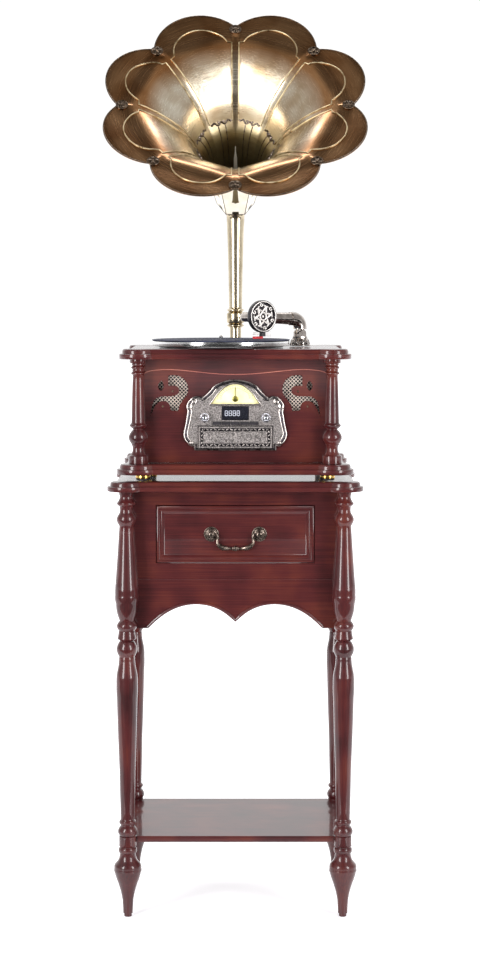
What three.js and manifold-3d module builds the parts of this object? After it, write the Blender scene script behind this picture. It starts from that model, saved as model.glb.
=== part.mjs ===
// A gramophone cabinet in two pieces: a turned-leg stand with one drawer and a low
// shelf, and on it a music player whose cased body, between four turned columns, holds
// a radio, a disc tray and two speakers, with a turntable and a petalled horn on top.
// Millimetres, +Z up, the front faces -Y. The origin is the middle of the footprint.
import * as THREE from "three";
import { mergeVertices } from "three/addons/utils/BufferGeometryUtils.js";
import Module from "manifold-3d";

const wasm = await Module();
wasm.setup();

// ---------------------------------------------------------------- driving dimensions
const FIT = 0.3; // gap between pieces that bear on each other along a curve
const RUNNING_GAP = 1.2; // round a piece that slides in its opening
const BOARD_ARC_STEPS = 5;

// Stand
const LEG_SPAN_X = 415; // between leg axes
const LEG_SPAN_Y = 310;
const STAND_HEIGHT = 825; // floor to the underside of the stand's top board
const STAND_BOARD = 19;
const STAND_EAR = 36.75; // radius of a board's rounded corner about the leg axis
const EAR_SETBACK = 12; // how far the straight edges stand back from the corners
const LEG_RADIUS = 22.4; // widest part of the leg beside the case
const LEG_BAND_RADIUS = 16.5; // plain band of the leg at the shelf
const LEG_SIDES = 9;
const SHELF_TOP = 157;
const SHELF_THICK = 12;
const PANEL = 18; // solid timber panels of the stand
const CASE_INSET = 2.5; // case sides, inside the leg axes
const FRAME_HEIGHT = 171; // drawer frame, down from the top board
const APRON_DROP = 96; // apron, down from the drawer frame
const ARCH_RISE = 46.6; // top of an arch above the apron's feet
const ARCH_CUSP = 12.7; // middle point between the two arches, above the feet
const ARCH_FOOT = 36.5; // flat foot at each end of the apron
const BACK_BOARD = 6;

// Drawer
const DRAWER_WIDTH = 301.4;
const DRAWER_HEIGHT = 109.6;
const DRAWER_TOP_RAIL = 30.4; // frame above the drawer front
const DRAWER_BOX_DEPTH = 215;
const DRAWER_BOX_HEIGHT = 82;
const DRAWER_SIDE_INSET = 12; // drawer side, inside the edge of the front
const DRAWER_WALL = 10;
const DRAWER_FLOOR = 5;
const DRAWER_LIFT = 6; // underside of the drawer box above the edge of the front
const RUNNER_HEIGHT = 14;
const RUNNER_OVERLAP = 12; // how far the runner reaches under the drawer side
const PULL_SPAN = 92; // between the rosettes
const PULL_RISE = 55; // rosettes above the lower edge of the front
const ROSETTE_RADIUS = 14.3;
const PULL_POST_RADIUS = 5.5;
const PULL_POST_LENGTH = 14;
const PULL_PIN_OUT = 8.5; // bail pivot in front of the drawer
const PULL_PIN_RADIUS = 2;
const BAIL_SPAN = 72; // between the bail's shoulders
const BAIL_DROP = 27;

// Player case
const COLUMN_SPAN_X = 370;
const COLUMN_SPAN_Y = 268;
const COLUMN_RADIUS = 18.5; // widest turning of a column
const COLUMN_SIDES = 8;
const FOOT_HEIGHT = 12;
const FOOT_RADIUS = 15;
const FOOT_INSET = 9; // foot axis inside the column axis, across the width
const PLAYER_BOARD = 20;
const BASE_EAR = 41.85;
const TOP_EAR = 36.4;
const CASE_HEIGHT = 199; // between the player's two boards
const CASE_PANEL = 12;
const CASE_SIDE_INSET = 2; // case sides, inside the column axes
const SPARE_BLOCK_WIDTH = 16;
const SPARE_BLOCK_X = 62;

// Radio front, heights above the top of the base board
const BEZEL_THICK = 6;
const BEZEL_FOOT = 24;
const BEZEL_FOOT_HALF = 78.2;
const BEZEL_STEP = 10; // straight edge above the foot
const BEZEL_WAIST_HALF = 98.9;
const OPENING_MARGIN = 4; // of the panel's opening beyond the tray and the dial
const TRAY_HALF = 70.3;
const TRAY_FOOT = 28;
const TRAY_HEIGHT = 42;
const TRAY_PROUD = 4;
const TRAY_PLATE_HALF = 63;
const TRAY_PLATE = 9;
const TRAY_LENGTH = 136;
const DISC_RADIUS = 60.5;
const DRIVE_WALL = 4;
const BUTTON_COUNT = 5;
const BUTTON_WIDTH = 15.7;
const BUTTON_HEIGHT = 5.8;
const BUTTON_PITCH = 17.7;
const BUTTON_FOOT = TRAY_FOOT + TRAY_HEIGHT + 3;
const BUTTON_PROUD = 2.2;
const BUTTON_FLANGE = 1; // wider behind the bezel, so that it can't fall out
const DISPLAY_HALF = 24.7;
const DISPLAY_FOOT = BUTTON_FOOT + 10;
const DISPLAY_HEIGHT = 24;
const KNOB_X = 58.7;
const KNOB_Z = BUTTON_FOOT + 13.5;
const KNOB_RADIUS = 7.2;
const KNOB_SHAFT = 2.5;
const KNOB_COLLAR = 8.7;
const DIAL_FOOT = DISPLAY_FOOT + DISPLAY_HEIGHT + 6; // lower edge of the dial window
const DIAL_HALF = 47.5;
const DIAL_HEIGHT = 37;
const DIAL_CARD = 2;
const POINTER_HUB = 5.5;
const POINTER_RISE = 9; // pointer axis above the lower edge of the dial
const POINTER_LENGTH = 23;
const BEZEL_HEIGHT = DIAL_FOOT + DIAL_HEIGHT + 9 - BEZEL_FOOT;
const BEZEL_DRAWN_HEIGHT = 135; // the height that the plate's outline is drawn at

// Speakers behind the fretted openings
const SPEAKER_RADIUS = 40;
const SPEAKER_DEPTH = 34;
const SPEAKER_X = 127;
const SPEAKER_DROP = 72; // middle of a speaker, below the top of the case
const FRET_DROP = 199; // the height that the fretwork is drawn from, below the top of the case
const MESH_SHEET = 1.2;

// Turntable
const PLATTER_X = -28;
const PLATTER_Y = -28;
const PLATTER_RADIUS = 133;
const PLATTER_THICK = 11;
const PLATTER_SIDES = 28;
const PLATTER_HUB = 18; // solid middle of the platter's hollow underside
const PLATTER_SKIN = 3.5;
const SPINDLE_RADIUS = 3;
const SPINDLE_RISE = 9.5; // spindle above the platter's top
const MAT_RADIUS = 134.5;
const MAT_THICK = 2;
const DECK_RADIUS = 121;
const DECK_PLATE = 1.6;
const PLATTER_GAP = 0.5; // platter over the deck plate
const MOTOR_RADIUS = 24;
const MOTOR_DEPTH = 38;

// Tone arm, in its own frame: +X along the arm, +Y the way the sound box faces
const ARM_X = 128;
const ARM_Y = 60;
const ARM_TURN = -146; // degrees, from +X to the arm's direction in plan
const ARM_BASE_RADIUS = 21;
const ARM_BASE_HEIGHT = 15;
const YOKE_RADIUS = 15;
const YOKE_PLATE = 3;
const ARM_HINGE_Z = 25; // lift pivot above the deck
const ARM_CHEEK_RADIUS = 7;
const ARM_TONGUE = 13; // width of the arm's tongue between the cheeks
const ARM_CHEEK = 5;
const ARM_AXIS_Z = 53;
const ARM_RISE = 5; // gooseneck above the elbow
const ARM_REACH = 140;
const ARM_BEND = 17;
const ARM_ELBOW_RADIUS = 13.6;
const ARM_SLEEVE = 25; // the elbow's sleeve ends this far along the arm
const ARM_TUBE_RADIUS = 12.2;
const ARM_TAPER = 2.8; // the tube is this much slimmer at the gooseneck
const YOKE_SPINDLE = 4;
const SPINDLE_SEAT = 3; // bottom of the base's bore
const GOOSENECK = 70; // from the arm's axis to the middle of the sound box
const SOUND_BOX_RADIUS = 31;
const SOUND_BOX_THICK = 14;
const SOUND_BOX_LIFT = 2;
const CARTRIDGE_WIDTH = 38;
const CARTRIDGE_DEPTH = 12;
const CARTRIDGE_DROP = 12; // below the sound box

// Horn
const NECK_Y = 132; // horn pipe axis behind the middle of the case
const SOCKET_FLANGE = 22;
const SOCKET_PIPE_RADIUS = 11.4;
const COLLAR_FOOT = 35; // above the deck
const COLLAR_TOP = 73;
const COLLAR_RADIUS = 18;
const SPIGOT_RADIUS = 8.5;
const SPIGOT_LENGTH = 34;
const NECK_FOOT_RADIUS = 13.1;
const NECK_HEAD_RADIUS = 17.4;
const NECK_WALL = 1.6;
const NECK_BEND = 40;
const HORN_TILT = 47.25; // degrees, from upright to the horn's axis
const HORN_WALL = 1.2;
const HORN_MOUTH_RISE = 462; // middle of the mouth above the deck
const HORN_PETALS = 8;
const PETAL_STEPS = 5;
const PETAL_GROWTH = 1.6; // how late along the bell the petals part from a circle
const PETAL_CENTRE = 168; // middle of a petal's round end, from the horn's axis
const PETAL_RADIUS = 95;
const PETAL_FLATNESS = 0.085; // how far the bell's panels cut inside a circle, at most
const HORN_NECK_DEPTH = 262; // the pipe's flared end, behind the mouth
const HORN_BEND_DEPTH = 284; // the corner of the pipe's bend, behind the mouth

// [radius, depth behind the mouth] of the horn's inner face
const HORN_PROFILE = [
  [29.4, 287],
  [34, 262],
  [42, 212],
  [58, 140],
  [80, 106],
  [102, 72],
  [132, 42],
  [161, 20],
  [193, 3],
  [225.2, 0],
  [263, -7],
];

// ---------------------------------------------------------------- finishes
function finish(color, roughness, metalness) {
  return new THREE.MeshStandardMaterial({ color, roughness, metalness });
}
const MAHOGANY = finish("#5a2226", 0.22, 0);
const BARE_WOOD = finish("#b08a5c", 0.7, 0);
const ANTIQUE_BRASS = finish("#8a6a3f", 0.35, 1);
const CHAMPAGNE = finish("#d9cfb4", 0.2, 1);
const NICKEL = finish("#9a928c", 0.2, 1);
const PEWTER = finish("#b5aeb4", 0.45, 0.9);
const BRONZE = finish("#7d6f64", 0.35, 1);
const CHROME = finish("#e8e8e8", 0.08, 1);
const DIAL_CREAM = finish("#efe9b4", 0.5, 0);
const OLIVE = finish("#8d8648", 0.4, 0.6);
const DARK_GLASS = finish("#14151f", 0.1, 0);
const DARK_PLASTIC = finish("#2e2a2e", 0.4, 0);
const MAT_RUBBER = finish("#1d2238", 0.8, 0);
const STEEL = finish("#8c8c90", 0.4, 1);
const PAPER_CONE = finish("#26242a", 0.9, 0);
const BOARD_GREEN = finish("#1f5a3a", 0.6, 0);
const FOOT_GOLD = finish("#c9a45a", 0.3, 1);

// ---------------------------------------------------------------- shared operations
function box(x0, x1, y0, y1, z0, z1) {
  const geometry = new THREE.BoxGeometry(x1 - x0, y1 - y0, z1 - z0);
  return geometry.translate((x0 + x1) / 2, (y0 + y1) / 2, (z0 + z1) / 2);
}

function extruded(shape, depth, curveSegments) {
  return new THREE.ExtrudeGeometry(shape, { depth, bevelEnabled: false, curveSegments });
}

// A plan outline raised from z0 to z1.
function slab(shape, z0, z1, curveSegments = 6) {
  return extruded(shape, z1 - z0, curveSegments).translate(0, 0, z0);
}

// A front elevation, drawn in x and z, given its thickness along y.
function upright(shape, yFront, yBack, curveSegments = 6) {
  const geometry = extruded(shape, yBack - yFront, curveSegments);
  return geometry.rotateX(Math.PI / 2).translate(0, yBack, 0);
}

// A side elevation, drawn in y and z, given its thickness along x.
function sideways(shape, xLeft, xRight, curveSegments = 6) {
  const geometry = extruded(shape, xRight - xLeft, curveSegments);
  return geometry.rotateX(Math.PI / 2).rotateZ(Math.PI / 2).translate(xLeft, 0, 0);
}

// A round outline or hole, as a polygon of the given number of sides.
function disc(x, y, radius, sides) {
  const points = [];
  for (let i = 0; i < sides; i += 1) {
    const angle = (2 * Math.PI * i) / sides;
    points.push(new THREE.Vector2(x + radius * Math.cos(angle), y + radius * Math.sin(angle)));
  }
  return new THREE.Shape(points);
}

function lathe(profile, sides) {
  const points = profile.map(([radius, along]) => new THREE.Vector2(radius, along));
  return new THREE.LatheGeometry(points, sides);
}

// Turned about z, from a profile of [radius, height] listed upwards.
function turned(profile, sides) {
  return lathe(profile, sides).rotateX(Math.PI / 2);
}

// Turned about a line that comes forward, from [radius, distance in front].
function turnedForward(profile, sides) {
  return lathe(profile, sides).rotateX(Math.PI);
}

// Points of a turned bead or ball between two heights.
function bead(low, high, edge, widest, steps = 3) {
  const points = [];
  for (let i = 0; i <= steps; i += 1) {
    const share = i / steps;
    const swell = Math.sin(Math.PI * share);
    points.push([edge + (widest - edge) * swell, low + (high - low) * share]);
  }
  return points;
}

// A closed skin through rings of equally many points. Each ring runs anticlockwise about
// the way the rings go. A loop joins its last ring to its first; else the ends are capped.
function skin(rings, loop = false) {
  const count = rings[0].length;
  const points = rings.flat();
  const index = [];
  const bands = loop ? rings.length : rings.length - 1;
  for (let band = 0; band < bands; band += 1) {
    const here = band * count;
    const next = ((band + 1) % rings.length) * count;
    for (let i = 0; i < count; i += 1) {
      const j = (i + 1) % count;
      index.push(here + i, here + j, next + j);
      index.push(here + i, next + j, next + i);
    }
  }
  if (!loop) {
    capRing(points, index, 0, count, true);
    capRing(points, index, (rings.length - 1) * count, count, false);
  }
  const geometry = new THREE.BufferGeometry().setFromPoints(points);
  geometry.setIndex(index);
  return geometry;
}

// Closes one end ring with a fan from its middle.
function capRing(points, index, start, count, reversed) {
  const middle = new THREE.Vector3();
  for (let i = 0; i < count; i += 1) {
    middle.add(points[start + i]);
  }
  points.push(middle.divideScalar(count));
  const hub = points.length - 1;
  for (let i = 0; i < count; i += 1) {
    const j = (i + 1) % count;
    index.push(hub, start + (reversed ? j : i), start + (reversed ? i : j));
  }
}

function toSolid(geometry) {
  const bare = geometry.clone();
  bare.deleteAttribute("normal");
  bare.deleteAttribute("uv");
  const merged = mergeVertices(bare, 1e-4);
  const vertProperties = merged.attributes.position.array;
  const triVerts = new Uint32Array(merged.index.array);
  return new wasm.Manifold(new wasm.Mesh({ numProp: 3, vertProperties, triVerts }));
}

function fromSolid(solid) {
  const mesh = solid.getMesh();
  const geometry = new THREE.BufferGeometry();
  geometry.setAttribute("position", new THREE.BufferAttribute(mesh.vertProperties, 3));
  geometry.setIndex(new THREE.BufferAttribute(mesh.triVerts, 1));
  return geometry;
}

function joined(...pieces) {
  return fromSolid(pieces.map(toSolid).reduce((whole, piece) => whole.add(piece)));
}

function cut(body, ...tools) {
  const start = toSolid(body);
  return fromSolid(tools.map(toSolid).reduce((rest, tool) => rest.subtract(tool), start));
}

function add(parent, name, geometry, material, x = 0, y = 0, z = 0) {
  const mesh = new THREE.Mesh(geometry, material);
  mesh.name = name;
  mesh.position.set(x, y, z);
  parent.add(mesh);
  return mesh;
}

// The points of a cornered route whose corners are rounded to arcs.
function roundedRoute(corners, bend, steps = 4) {
  const points = [corners[0]];
  for (let i = 1; i < corners.length - 1; i += 1) {
    const before = corners[i - 1].clone().sub(corners[i]).setLength(bend);
    const after = corners[i + 1].clone().sub(corners[i]).setLength(bend);
    const turn = Math.PI - before.angleTo(after);
    const handle = ((4 / 3) * Math.tan(turn / 4)) / Math.tan(turn / 2);
    const start = corners[i].clone().add(before);
    const end = corners[i].clone().add(after);
    const early = start.clone().lerp(corners[i], handle);
    const late = end.clone().lerp(corners[i], handle);
    points.push(...new THREE.CubicBezierCurve3(start, early, late, end).getPoints(steps));
  }
  points.push(corners[corners.length - 1]);
  return points;
}

// Round sections square to a route, carried round its bends without twist.
function pipeRings(points, radii, sides) {
  const rings = [];
  let side = null;
  let heading = null;
  points.forEach((point, i) => {
    const before = points[Math.max(i - 1, 0)];
    const after = points[Math.min(i + 1, points.length - 1)];
    const tangent = after.clone().sub(before).normalize();
    if (side) {
      side.applyQuaternion(new THREE.Quaternion().setFromUnitVectors(heading, tangent));
    } else {
      const spare = Math.abs(tangent.x) < 0.9 ? [1, 0, 0] : [0, 1, 0];
      side = new THREE.Vector3(...spare).cross(tangent).normalize();
    }
    heading = tangent;
    const other = tangent.clone().cross(side);
    const ring = [];
    for (let k = 0; k < sides; k += 1) {
      const angle = (2 * Math.PI * k) / sides;
      const spoke = side.clone().multiplyScalar(Math.cos(angle));
      spoke.addScaledVector(other, Math.sin(angle));
      ring.push(point.clone().addScaledVector(spoke, radii[i]));
    }
    rings.push(ring);
  });
  return rings;
}

// ---------------------------------------------------------------- turned timber
// One leg, from the floor up; the shaft between shelf and apron takes up the height.
function legProfile() {
  const top = STAND_HEIGHT;
  const shelf = SHELF_TOP;
  return [
    [0, 0],
    [7.5, 0],
    [7.5, 6],
    [9.3, 6.6],
    [10.2, shelf - 131],
    [16, shelf - 100],
    [26.3, shelf - 63.5],
    [15.2, shelf - 32],
    [17, shelf - 29],
    [17, shelf - 23],
    [15, shelf - 21],
    [16.8, shelf - 18],
    [LEG_BAND_RADIUS, shelf - 14],
    [LEG_BAND_RADIUS, shelf + 0.6],
    ...bead(shelf + 1, shelf + 19.5, 15, 18.7),
    [13.5, shelf + 23],
    [16, shelf + 26.5],
    [16, shelf + 31],
    [13.2, shelf + 34],
    [15.2, shelf + 126],
    [20.7, shelf + 298],
    [15.2, top - 319],
    ...bead(top - 318, top - 289, 14.9, 19.8),
    [13.1, top - 287],
    [17.9, top - 284],
    [15.7, top - 269],
    ...bead(top - 268, top - 250, 15, 19.5),
    [14.4, top - 247],
    [LEG_RADIUS, top - 199],
    [13.4, top - 67],
    ...bead(top - 66, top - 42.5, 13.5, 18.5),
    [12.8, top - 40.5],
    [12.8, top - 29.5],
    [17.4, top - 24],
    [12.4, top - 11],
    [13.5, top],
    [0, top],
  ];
}

// One column of the player, from its foot up; the shaft takes up the height.
function columnProfile() {
  const top = CASE_HEIGHT;
  return [
    [0, 0],
    [COLUMN_RADIUS, 0],
    [COLUMN_RADIUS, 15],
    [14, 18],
    [10.9, 28],
    [12.5, 36],
    ...bead(37, 62, 13, COLUMN_RADIUS),
    [10.1, 66],
    [16, 71],
    [16, 76.5],
    [13.2, 78],
    [10.2, top - 31],
    [13.3, top - 29],
    [13.3, top - 24],
    [11, top - 21.5],
    [13.3, top - 19],
    [13.3, top - 14],
    [12, top - 11],
    [15.5, top - 7],
    [15.5, top],
    [0, top],
  ];
}

// ---------------------------------------------------------------- moulded boards
// The outline of a board with a round ear about each corner post, drawn in by inset.
function earedRing(postX, postY, ear, inset, z) {
  const radius = ear - inset;
  const edge = radius - EAR_SETBACK;
  const lead = Math.acos(edge / radius);
  const ring = [];
  for (let corner = 0; corner < 4; corner += 1) {
    const facing = (corner * Math.PI) / 2;
    const first = facing - Math.PI / 2 - lead;
    const sweep = Math.PI / 2 + 2 * lead;
    const centreX = corner === 0 || corner === 3 ? postX : -postX;
    const centreY = corner < 2 ? postY : -postY;
    for (let i = 0; i <= BOARD_ARC_STEPS; i += 1) {
      const angle = first + Math.PI / 2 + (sweep * i) / BOARD_ARC_STEPS;
      const x = centreX + radius * Math.cos(angle);
      const y = centreY + radius * Math.sin(angle);
      ring.push(new THREE.Vector3(x, y, z));
    }
  }
  return ring;
}

// A board whose edge has two tiers, a square lower one and a rounded upper one.
function mouldedBoard(postX, postY, ear, z, thick) {
  const edge = [
    [1.2, 0],
    [0, 1.2],
    [0, thick * 0.5],
    [5.5, thick * 0.56],
    [4, thick * 0.64],
    [4, thick * 0.9],
    [5.8, thick],
  ];
  return skin(edge.map(([inset, up]) => earedRing(postX, postY, ear, inset, z + up)));
}

// A rectangular panel whose front is worked in steps of [inset, distance in front].
function workedPanel(halfWidth, z0, z1, yBack, yFront, steps) {
  const outline = [[0, yBack], ...steps.map(([inset, out]) => [inset, yFront - out])];
  const rings = outline.map(([inset, y]) => [
    new THREE.Vector3(-halfWidth + inset, y, z0 + inset),
    new THREE.Vector3(halfWidth - inset, y, z0 + inset),
    new THREE.Vector3(halfWidth - inset, y, z1 - inset),
    new THREE.Vector3(-halfWidth + inset, y, z1 - inset),
  ]);
  return skin(rings);
}

// ---------------------------------------------------------------- stand
const legX = LEG_SPAN_X / 2;
const legY = LEG_SPAN_Y / 2;
const caseHalfX = legX - CASE_INSET;
const caseHalfY = legY - LEG_RADIUS - FIT;
const frameFoot = STAND_HEIGHT - FRAME_HEIGHT;
const apronFoot = frameFoot - APRON_DROP;
const drawerTop = STAND_HEIGHT - DRAWER_TOP_RAIL;
const drawerFoot = drawerTop - DRAWER_HEIGHT;
const drawerHalf = DRAWER_WIDTH / 2;
const CORNERS = [
  ["front_left", -1, -1],
  ["front_right", 1, -1],
  ["rear_left", -1, 1],
  ["rear_right", 1, 1],
];

function rectangle(left, right, bottom, top) {
  const shape = new THREE.Shape();
  shape.moveTo(left, bottom);
  shape.lineTo(right, bottom);
  shape.lineTo(right, top);
  shape.lineTo(left, top);
  shape.closePath();
  return shape;
}

// A rail whose lower edge has two arches that meet in a point at the middle.
function archedRail(half, foot, top, footWidth) {
  const apex = foot + ARCH_RISE;
  const cusp = foot + ARCH_CUSP;
  const spring = half - footWidth;
  const crown = spring * 0.45;
  const shape = new THREE.Shape();
  shape.moveTo(-half, top);
  shape.lineTo(-half, foot);
  shape.lineTo(-spring, foot);
  shape.bezierCurveTo(-spring * 0.85, foot + ARCH_RISE * 0.58, -spring * 0.67, apex, -crown, apex);
  shape.bezierCurveTo(-crown * 0.58, apex, -crown * 0.26, cusp + 21, 0, cusp);
  shape.bezierCurveTo(crown * 0.26, cusp + 21, crown * 0.58, apex, crown, apex);
  shape.bezierCurveTo(spring * 0.67, apex, spring * 0.85, foot + ARCH_RISE * 0.58, spring, foot);
  shape.lineTo(half, foot);
  shape.lineTo(half, top);
  shape.closePath();
  return shape;
}

// The low shelf, its corners hollowed to fit the legs' bands.
function shelfOutline() {
  const hollow = LEG_BAND_RADIUS + FIT;
  const shape = new THREE.Shape();
  shape.moveTo(-legX + hollow, -legY);
  shape.lineTo(legX - hollow, -legY);
  shape.absarc(legX, -legY, hollow, Math.PI, Math.PI / 2, true);
  shape.lineTo(legX, legY - hollow);
  shape.absarc(legX, legY, hollow, -Math.PI / 2, -Math.PI, true);
  shape.lineTo(-legX + hollow, legY);
  shape.absarc(-legX, legY, hollow, 0, -Math.PI / 2, true);
  shape.lineTo(-legX, -legY + hollow);
  shape.absarc(-legX, -legY, hollow, Math.PI / 2, 0, true);
  return shape;
}

function standSide(side) {
  const outer = side * caseHalfX;
  const inner = side * (caseHalfX - PANEL);
  const depth = caseHalfY - PANEL;
  const panelShape = archedRail(depth, apronFoot, STAND_HEIGHT, ARCH_FOOT * 0.6);
  const panel = sideways(panelShape, Math.min(outer, inner), Math.max(outer, inner), 4);
  const reach = side * (drawerHalf - DRAWER_SIDE_INSET - RUNNER_OVERLAP);
  const runnerTop = drawerFoot + DRAWER_LIFT - FIT;
  const from = Math.min(reach, inner + side);
  const to = Math.max(reach, inner + side);
  const runner = box(from, to, -depth, depth - BACK_BOARD, runnerTop - RUNNER_HEIGHT, runnerTop);
  return joined(panel, runner);
}

function addStand(cabinet) {
  CORNERS.forEach(([where, sx, sy]) => {
    const leg = turned(legProfile(), LEG_SIDES);
    add(cabinet, `leg_${where}`, leg, MAHOGANY, sx * legX, sy * legY);
  });
  const topBoard = mouldedBoard(legX, legY, STAND_EAR, STAND_HEIGHT, STAND_BOARD);
  add(cabinet, "stand_top_board", topBoard, MAHOGANY);
  const shelf = slab(shelfOutline(), SHELF_TOP - SHELF_THICK, SHELF_TOP, 4);
  add(cabinet, "lower_shelf", shelf, MAHOGANY);

  const frameShape = rectangle(-caseHalfX, caseHalfX, frameFoot, STAND_HEIGHT);
  const gap = RUNNING_GAP;
  frameShape.holes.push(
    rectangle(-drawerHalf - gap, drawerHalf + gap, drawerFoot - gap, drawerTop + gap),
  );
  const frame = upright(frameShape, -caseHalfY, -caseHalfY + PANEL);
  add(cabinet, "drawer_frame", frame, MAHOGANY);
  const apronShape = archedRail(caseHalfX, apronFoot, frameFoot, ARCH_FOOT);
  add(cabinet, "front_apron", upright(apronShape, -caseHalfY, -caseHalfY + PANEL), MAHOGANY);
  add(cabinet, "stand_side_left", standSide(-1), MAHOGANY);
  add(cabinet, "stand_side_right", standSide(1), MAHOGANY);
  const backHalf = caseHalfX - PANEL;
  const backFace = caseHalfY - PANEL;
  const back = box(-backHalf, backHalf, backFace - BACK_BOARD, backFace, frameFoot, STAND_HEIGHT);
  add(cabinet, "stand_back", back, MAHOGANY);
}

// ---------------------------------------------------------------- drawer
const drawerFace = -caseHalfY;
const pullZ = drawerFoot + PULL_RISE;

function drawerBox() {
  const half = drawerHalf - DRAWER_SIDE_INSET;
  const front = drawerFace + PANEL;
  const back = front + DRAWER_BOX_DEPTH;
  const foot = drawerFoot + DRAWER_LIFT;
  const body = box(-half, half, front, back, foot, foot + DRAWER_BOX_HEIGHT);
  const wall = DRAWER_WALL;
  const floor = foot + DRAWER_FLOOR;
  const above = foot + DRAWER_BOX_HEIGHT + 1;
  const hollow = box(-half + wall, half - wall, front + wall, back - wall, floor, above);
  return cut(body, hollow);
}

// A domed rosette with the post that holds one end of the bail.
function rosette() {
  const plate = turnedForward(
    [
      [0, 0],
      [ROSETTE_RADIUS, 0],
      [ROSETTE_RADIUS, 1.5],
      [ROSETTE_RADIUS - 2, 3],
      [PULL_POST_RADIUS + 2, 4.5],
      [PULL_POST_RADIUS, 6],
      [PULL_POST_RADIUS, PULL_POST_LENGTH - 2],
      [PULL_POST_RADIUS - 2, PULL_POST_LENGTH],
      [0, PULL_POST_LENGTH],
    ],
    10,
  );
  const bore = new THREE.CylinderGeometry(1, 1, 4 * PULL_POST_RADIUS, 8).rotateZ(Math.PI / 2);
  const size = PULL_PIN_RADIUS + FIT;
  bore.scale(1, size, size).translate(0, -PULL_PIN_OUT, 0);
  return cut(plate, bore);
}

// The drop handle: leaf-like swellings either side of thin necks and a middle bead.
function bail() {
  const half = BAIL_SPAN / 2;
  const pin = PULL_SPAN / 2;
  const route = [
    [pin, 0, PULL_PIN_RADIUS],
    [half + 1, 0, PULL_PIN_RADIUS],
    [half, 0, 3.4],
    [half - 2.5, -6, 3.2],
    [half - 1, -15, 3],
    [half - 6, -22, 4.2],
    [half - 14, -BAIL_DROP + 1, 5],
    [half - 23, -BAIL_DROP, 3.4],
    [7, -BAIL_DROP, 2.4],
    [4, -BAIL_DROP, 4.8],
  ];
  const right = route.map(([x, z, r]) => [new THREE.Vector3(x, 0, z), r]);
  const left = right.map(([p, r]) => [new THREE.Vector3(-p.x, 0, p.z), r]).reverse();
  const stations = [...right, ...left];
  const points = stations.map(([point]) => point);
  const radii = stations.map(([, radius]) => radius);
  return skin(pipeRings(points, radii, 8));
}

function addDrawer(cabinet) {
  const front = workedPanel(drawerHalf, drawerFoot, drawerTop, drawerFace + PANEL, drawerFace, [
    [0, 0],
    [1.2, 2.6],
    [5, 3.4],
    [6.5, 1.8],
    [9.5, 1.8],
    [11, 3],
    [13.5, 2.6],
    [16.6, -1.6],
  ]);
  add(cabinet, "drawer_front", front, MAHOGANY);
  add(cabinet, "drawer_box", drawerBox(), BARE_WOOD);
  const fieldFace = drawerFace + 1.6;
  add(cabinet, "drawer_rosette_left", rosette(), BRONZE, -PULL_SPAN / 2, fieldFace, pullZ);
  add(cabinet, "drawer_rosette_right", rosette(), BRONZE, PULL_SPAN / 2, fieldFace, pullZ);
  add(cabinet, "drawer_bail", bail(), BRONZE, 0, fieldFace - PULL_PIN_OUT, pullZ);
}

// ---------------------------------------------------------------- player case
const columnX = COLUMN_SPAN_X / 2;
const columnY = COLUMN_SPAN_Y / 2;
const standTop = STAND_HEIGHT + STAND_BOARD;
const baseFoot = standTop + FOOT_HEIGHT;
const caseFoot = baseFoot + PLAYER_BOARD;
const caseTop = caseFoot + CASE_HEIGHT;
const deck = caseTop + PLAYER_BOARD;
const playerHalfX = columnX - CASE_SIDE_INSET;
const playerHalfY = columnY - COLUMN_RADIUS - FIT;
const panelFace = -playerHalfY;

// One scrolled opening of the fretwork, and the leaf beside it, for one side.
function fretScroll(side) {
  const at = (x, z) => [side * x, caseTop - FRET_DROP + z];
  const shape = new THREE.Path();
  shape.moveTo(...at(128, 167));
  shape.bezierCurveTo(...at(105, 171), ...at(90, 159), ...at(90, 140));
  shape.bezierCurveTo(...at(90, 123), ...at(107, 122), ...at(109, 99));
  shape.lineTo(...at(124, 100));
  shape.bezierCurveTo(...at(124, 116), ...at(132, 119), ...at(140, 118));
  shape.bezierCurveTo(...at(152, 117), ...at(157, 102), ...at(162, 90));
  shape.bezierCurveTo(...at(160, 112), ...at(157, 127), ...at(138, 127));
  shape.bezierCurveTo(...at(124, 127), ...at(107, 126), ...at(107, 139));
  shape.bezierCurveTo(...at(107, 149), ...at(122, 148), ...at(128, 147));
  shape.closePath();
  return shape;
}

function fretLeaf(side) {
  const at = (x, z) => [side * x, caseTop - FRET_DROP + z];
  const shape = new THREE.Path();
  shape.moveTo(...at(141, 157));
  shape.quadraticCurveTo(...at(156, 147), ...at(142, 137));
  shape.quadraticCurveTo(...at(131, 147), ...at(141, 157));
  return shape;
}

// The opening behind the radio front, which the bezel covers.
function radioOpening() {
  const wide = TRAY_HALF + OPENING_MARGIN;
  const narrow = DIAL_HALF + OPENING_MARGIN;
  const right = [
    [wide, BEZEL_FOOT + 3],
    [wide, KNOB_Z + KNOB_COLLAR],
    [narrow, DIAL_FOOT + DIAL_HEIGHT * 0.4],
    [narrow, DIAL_FOOT + DIAL_HEIGHT * 0.7],
    [DIAL_HALF - 15, DIAL_FOOT + DIAL_HEIGHT + 1],
  ];
  const left = right.map(([x, z]) => [-x, z]).reverse();
  return new THREE.Shape([...right, ...left].map(([x, z]) => new THREE.Vector2(x, caseFoot + z)));
}

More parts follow.
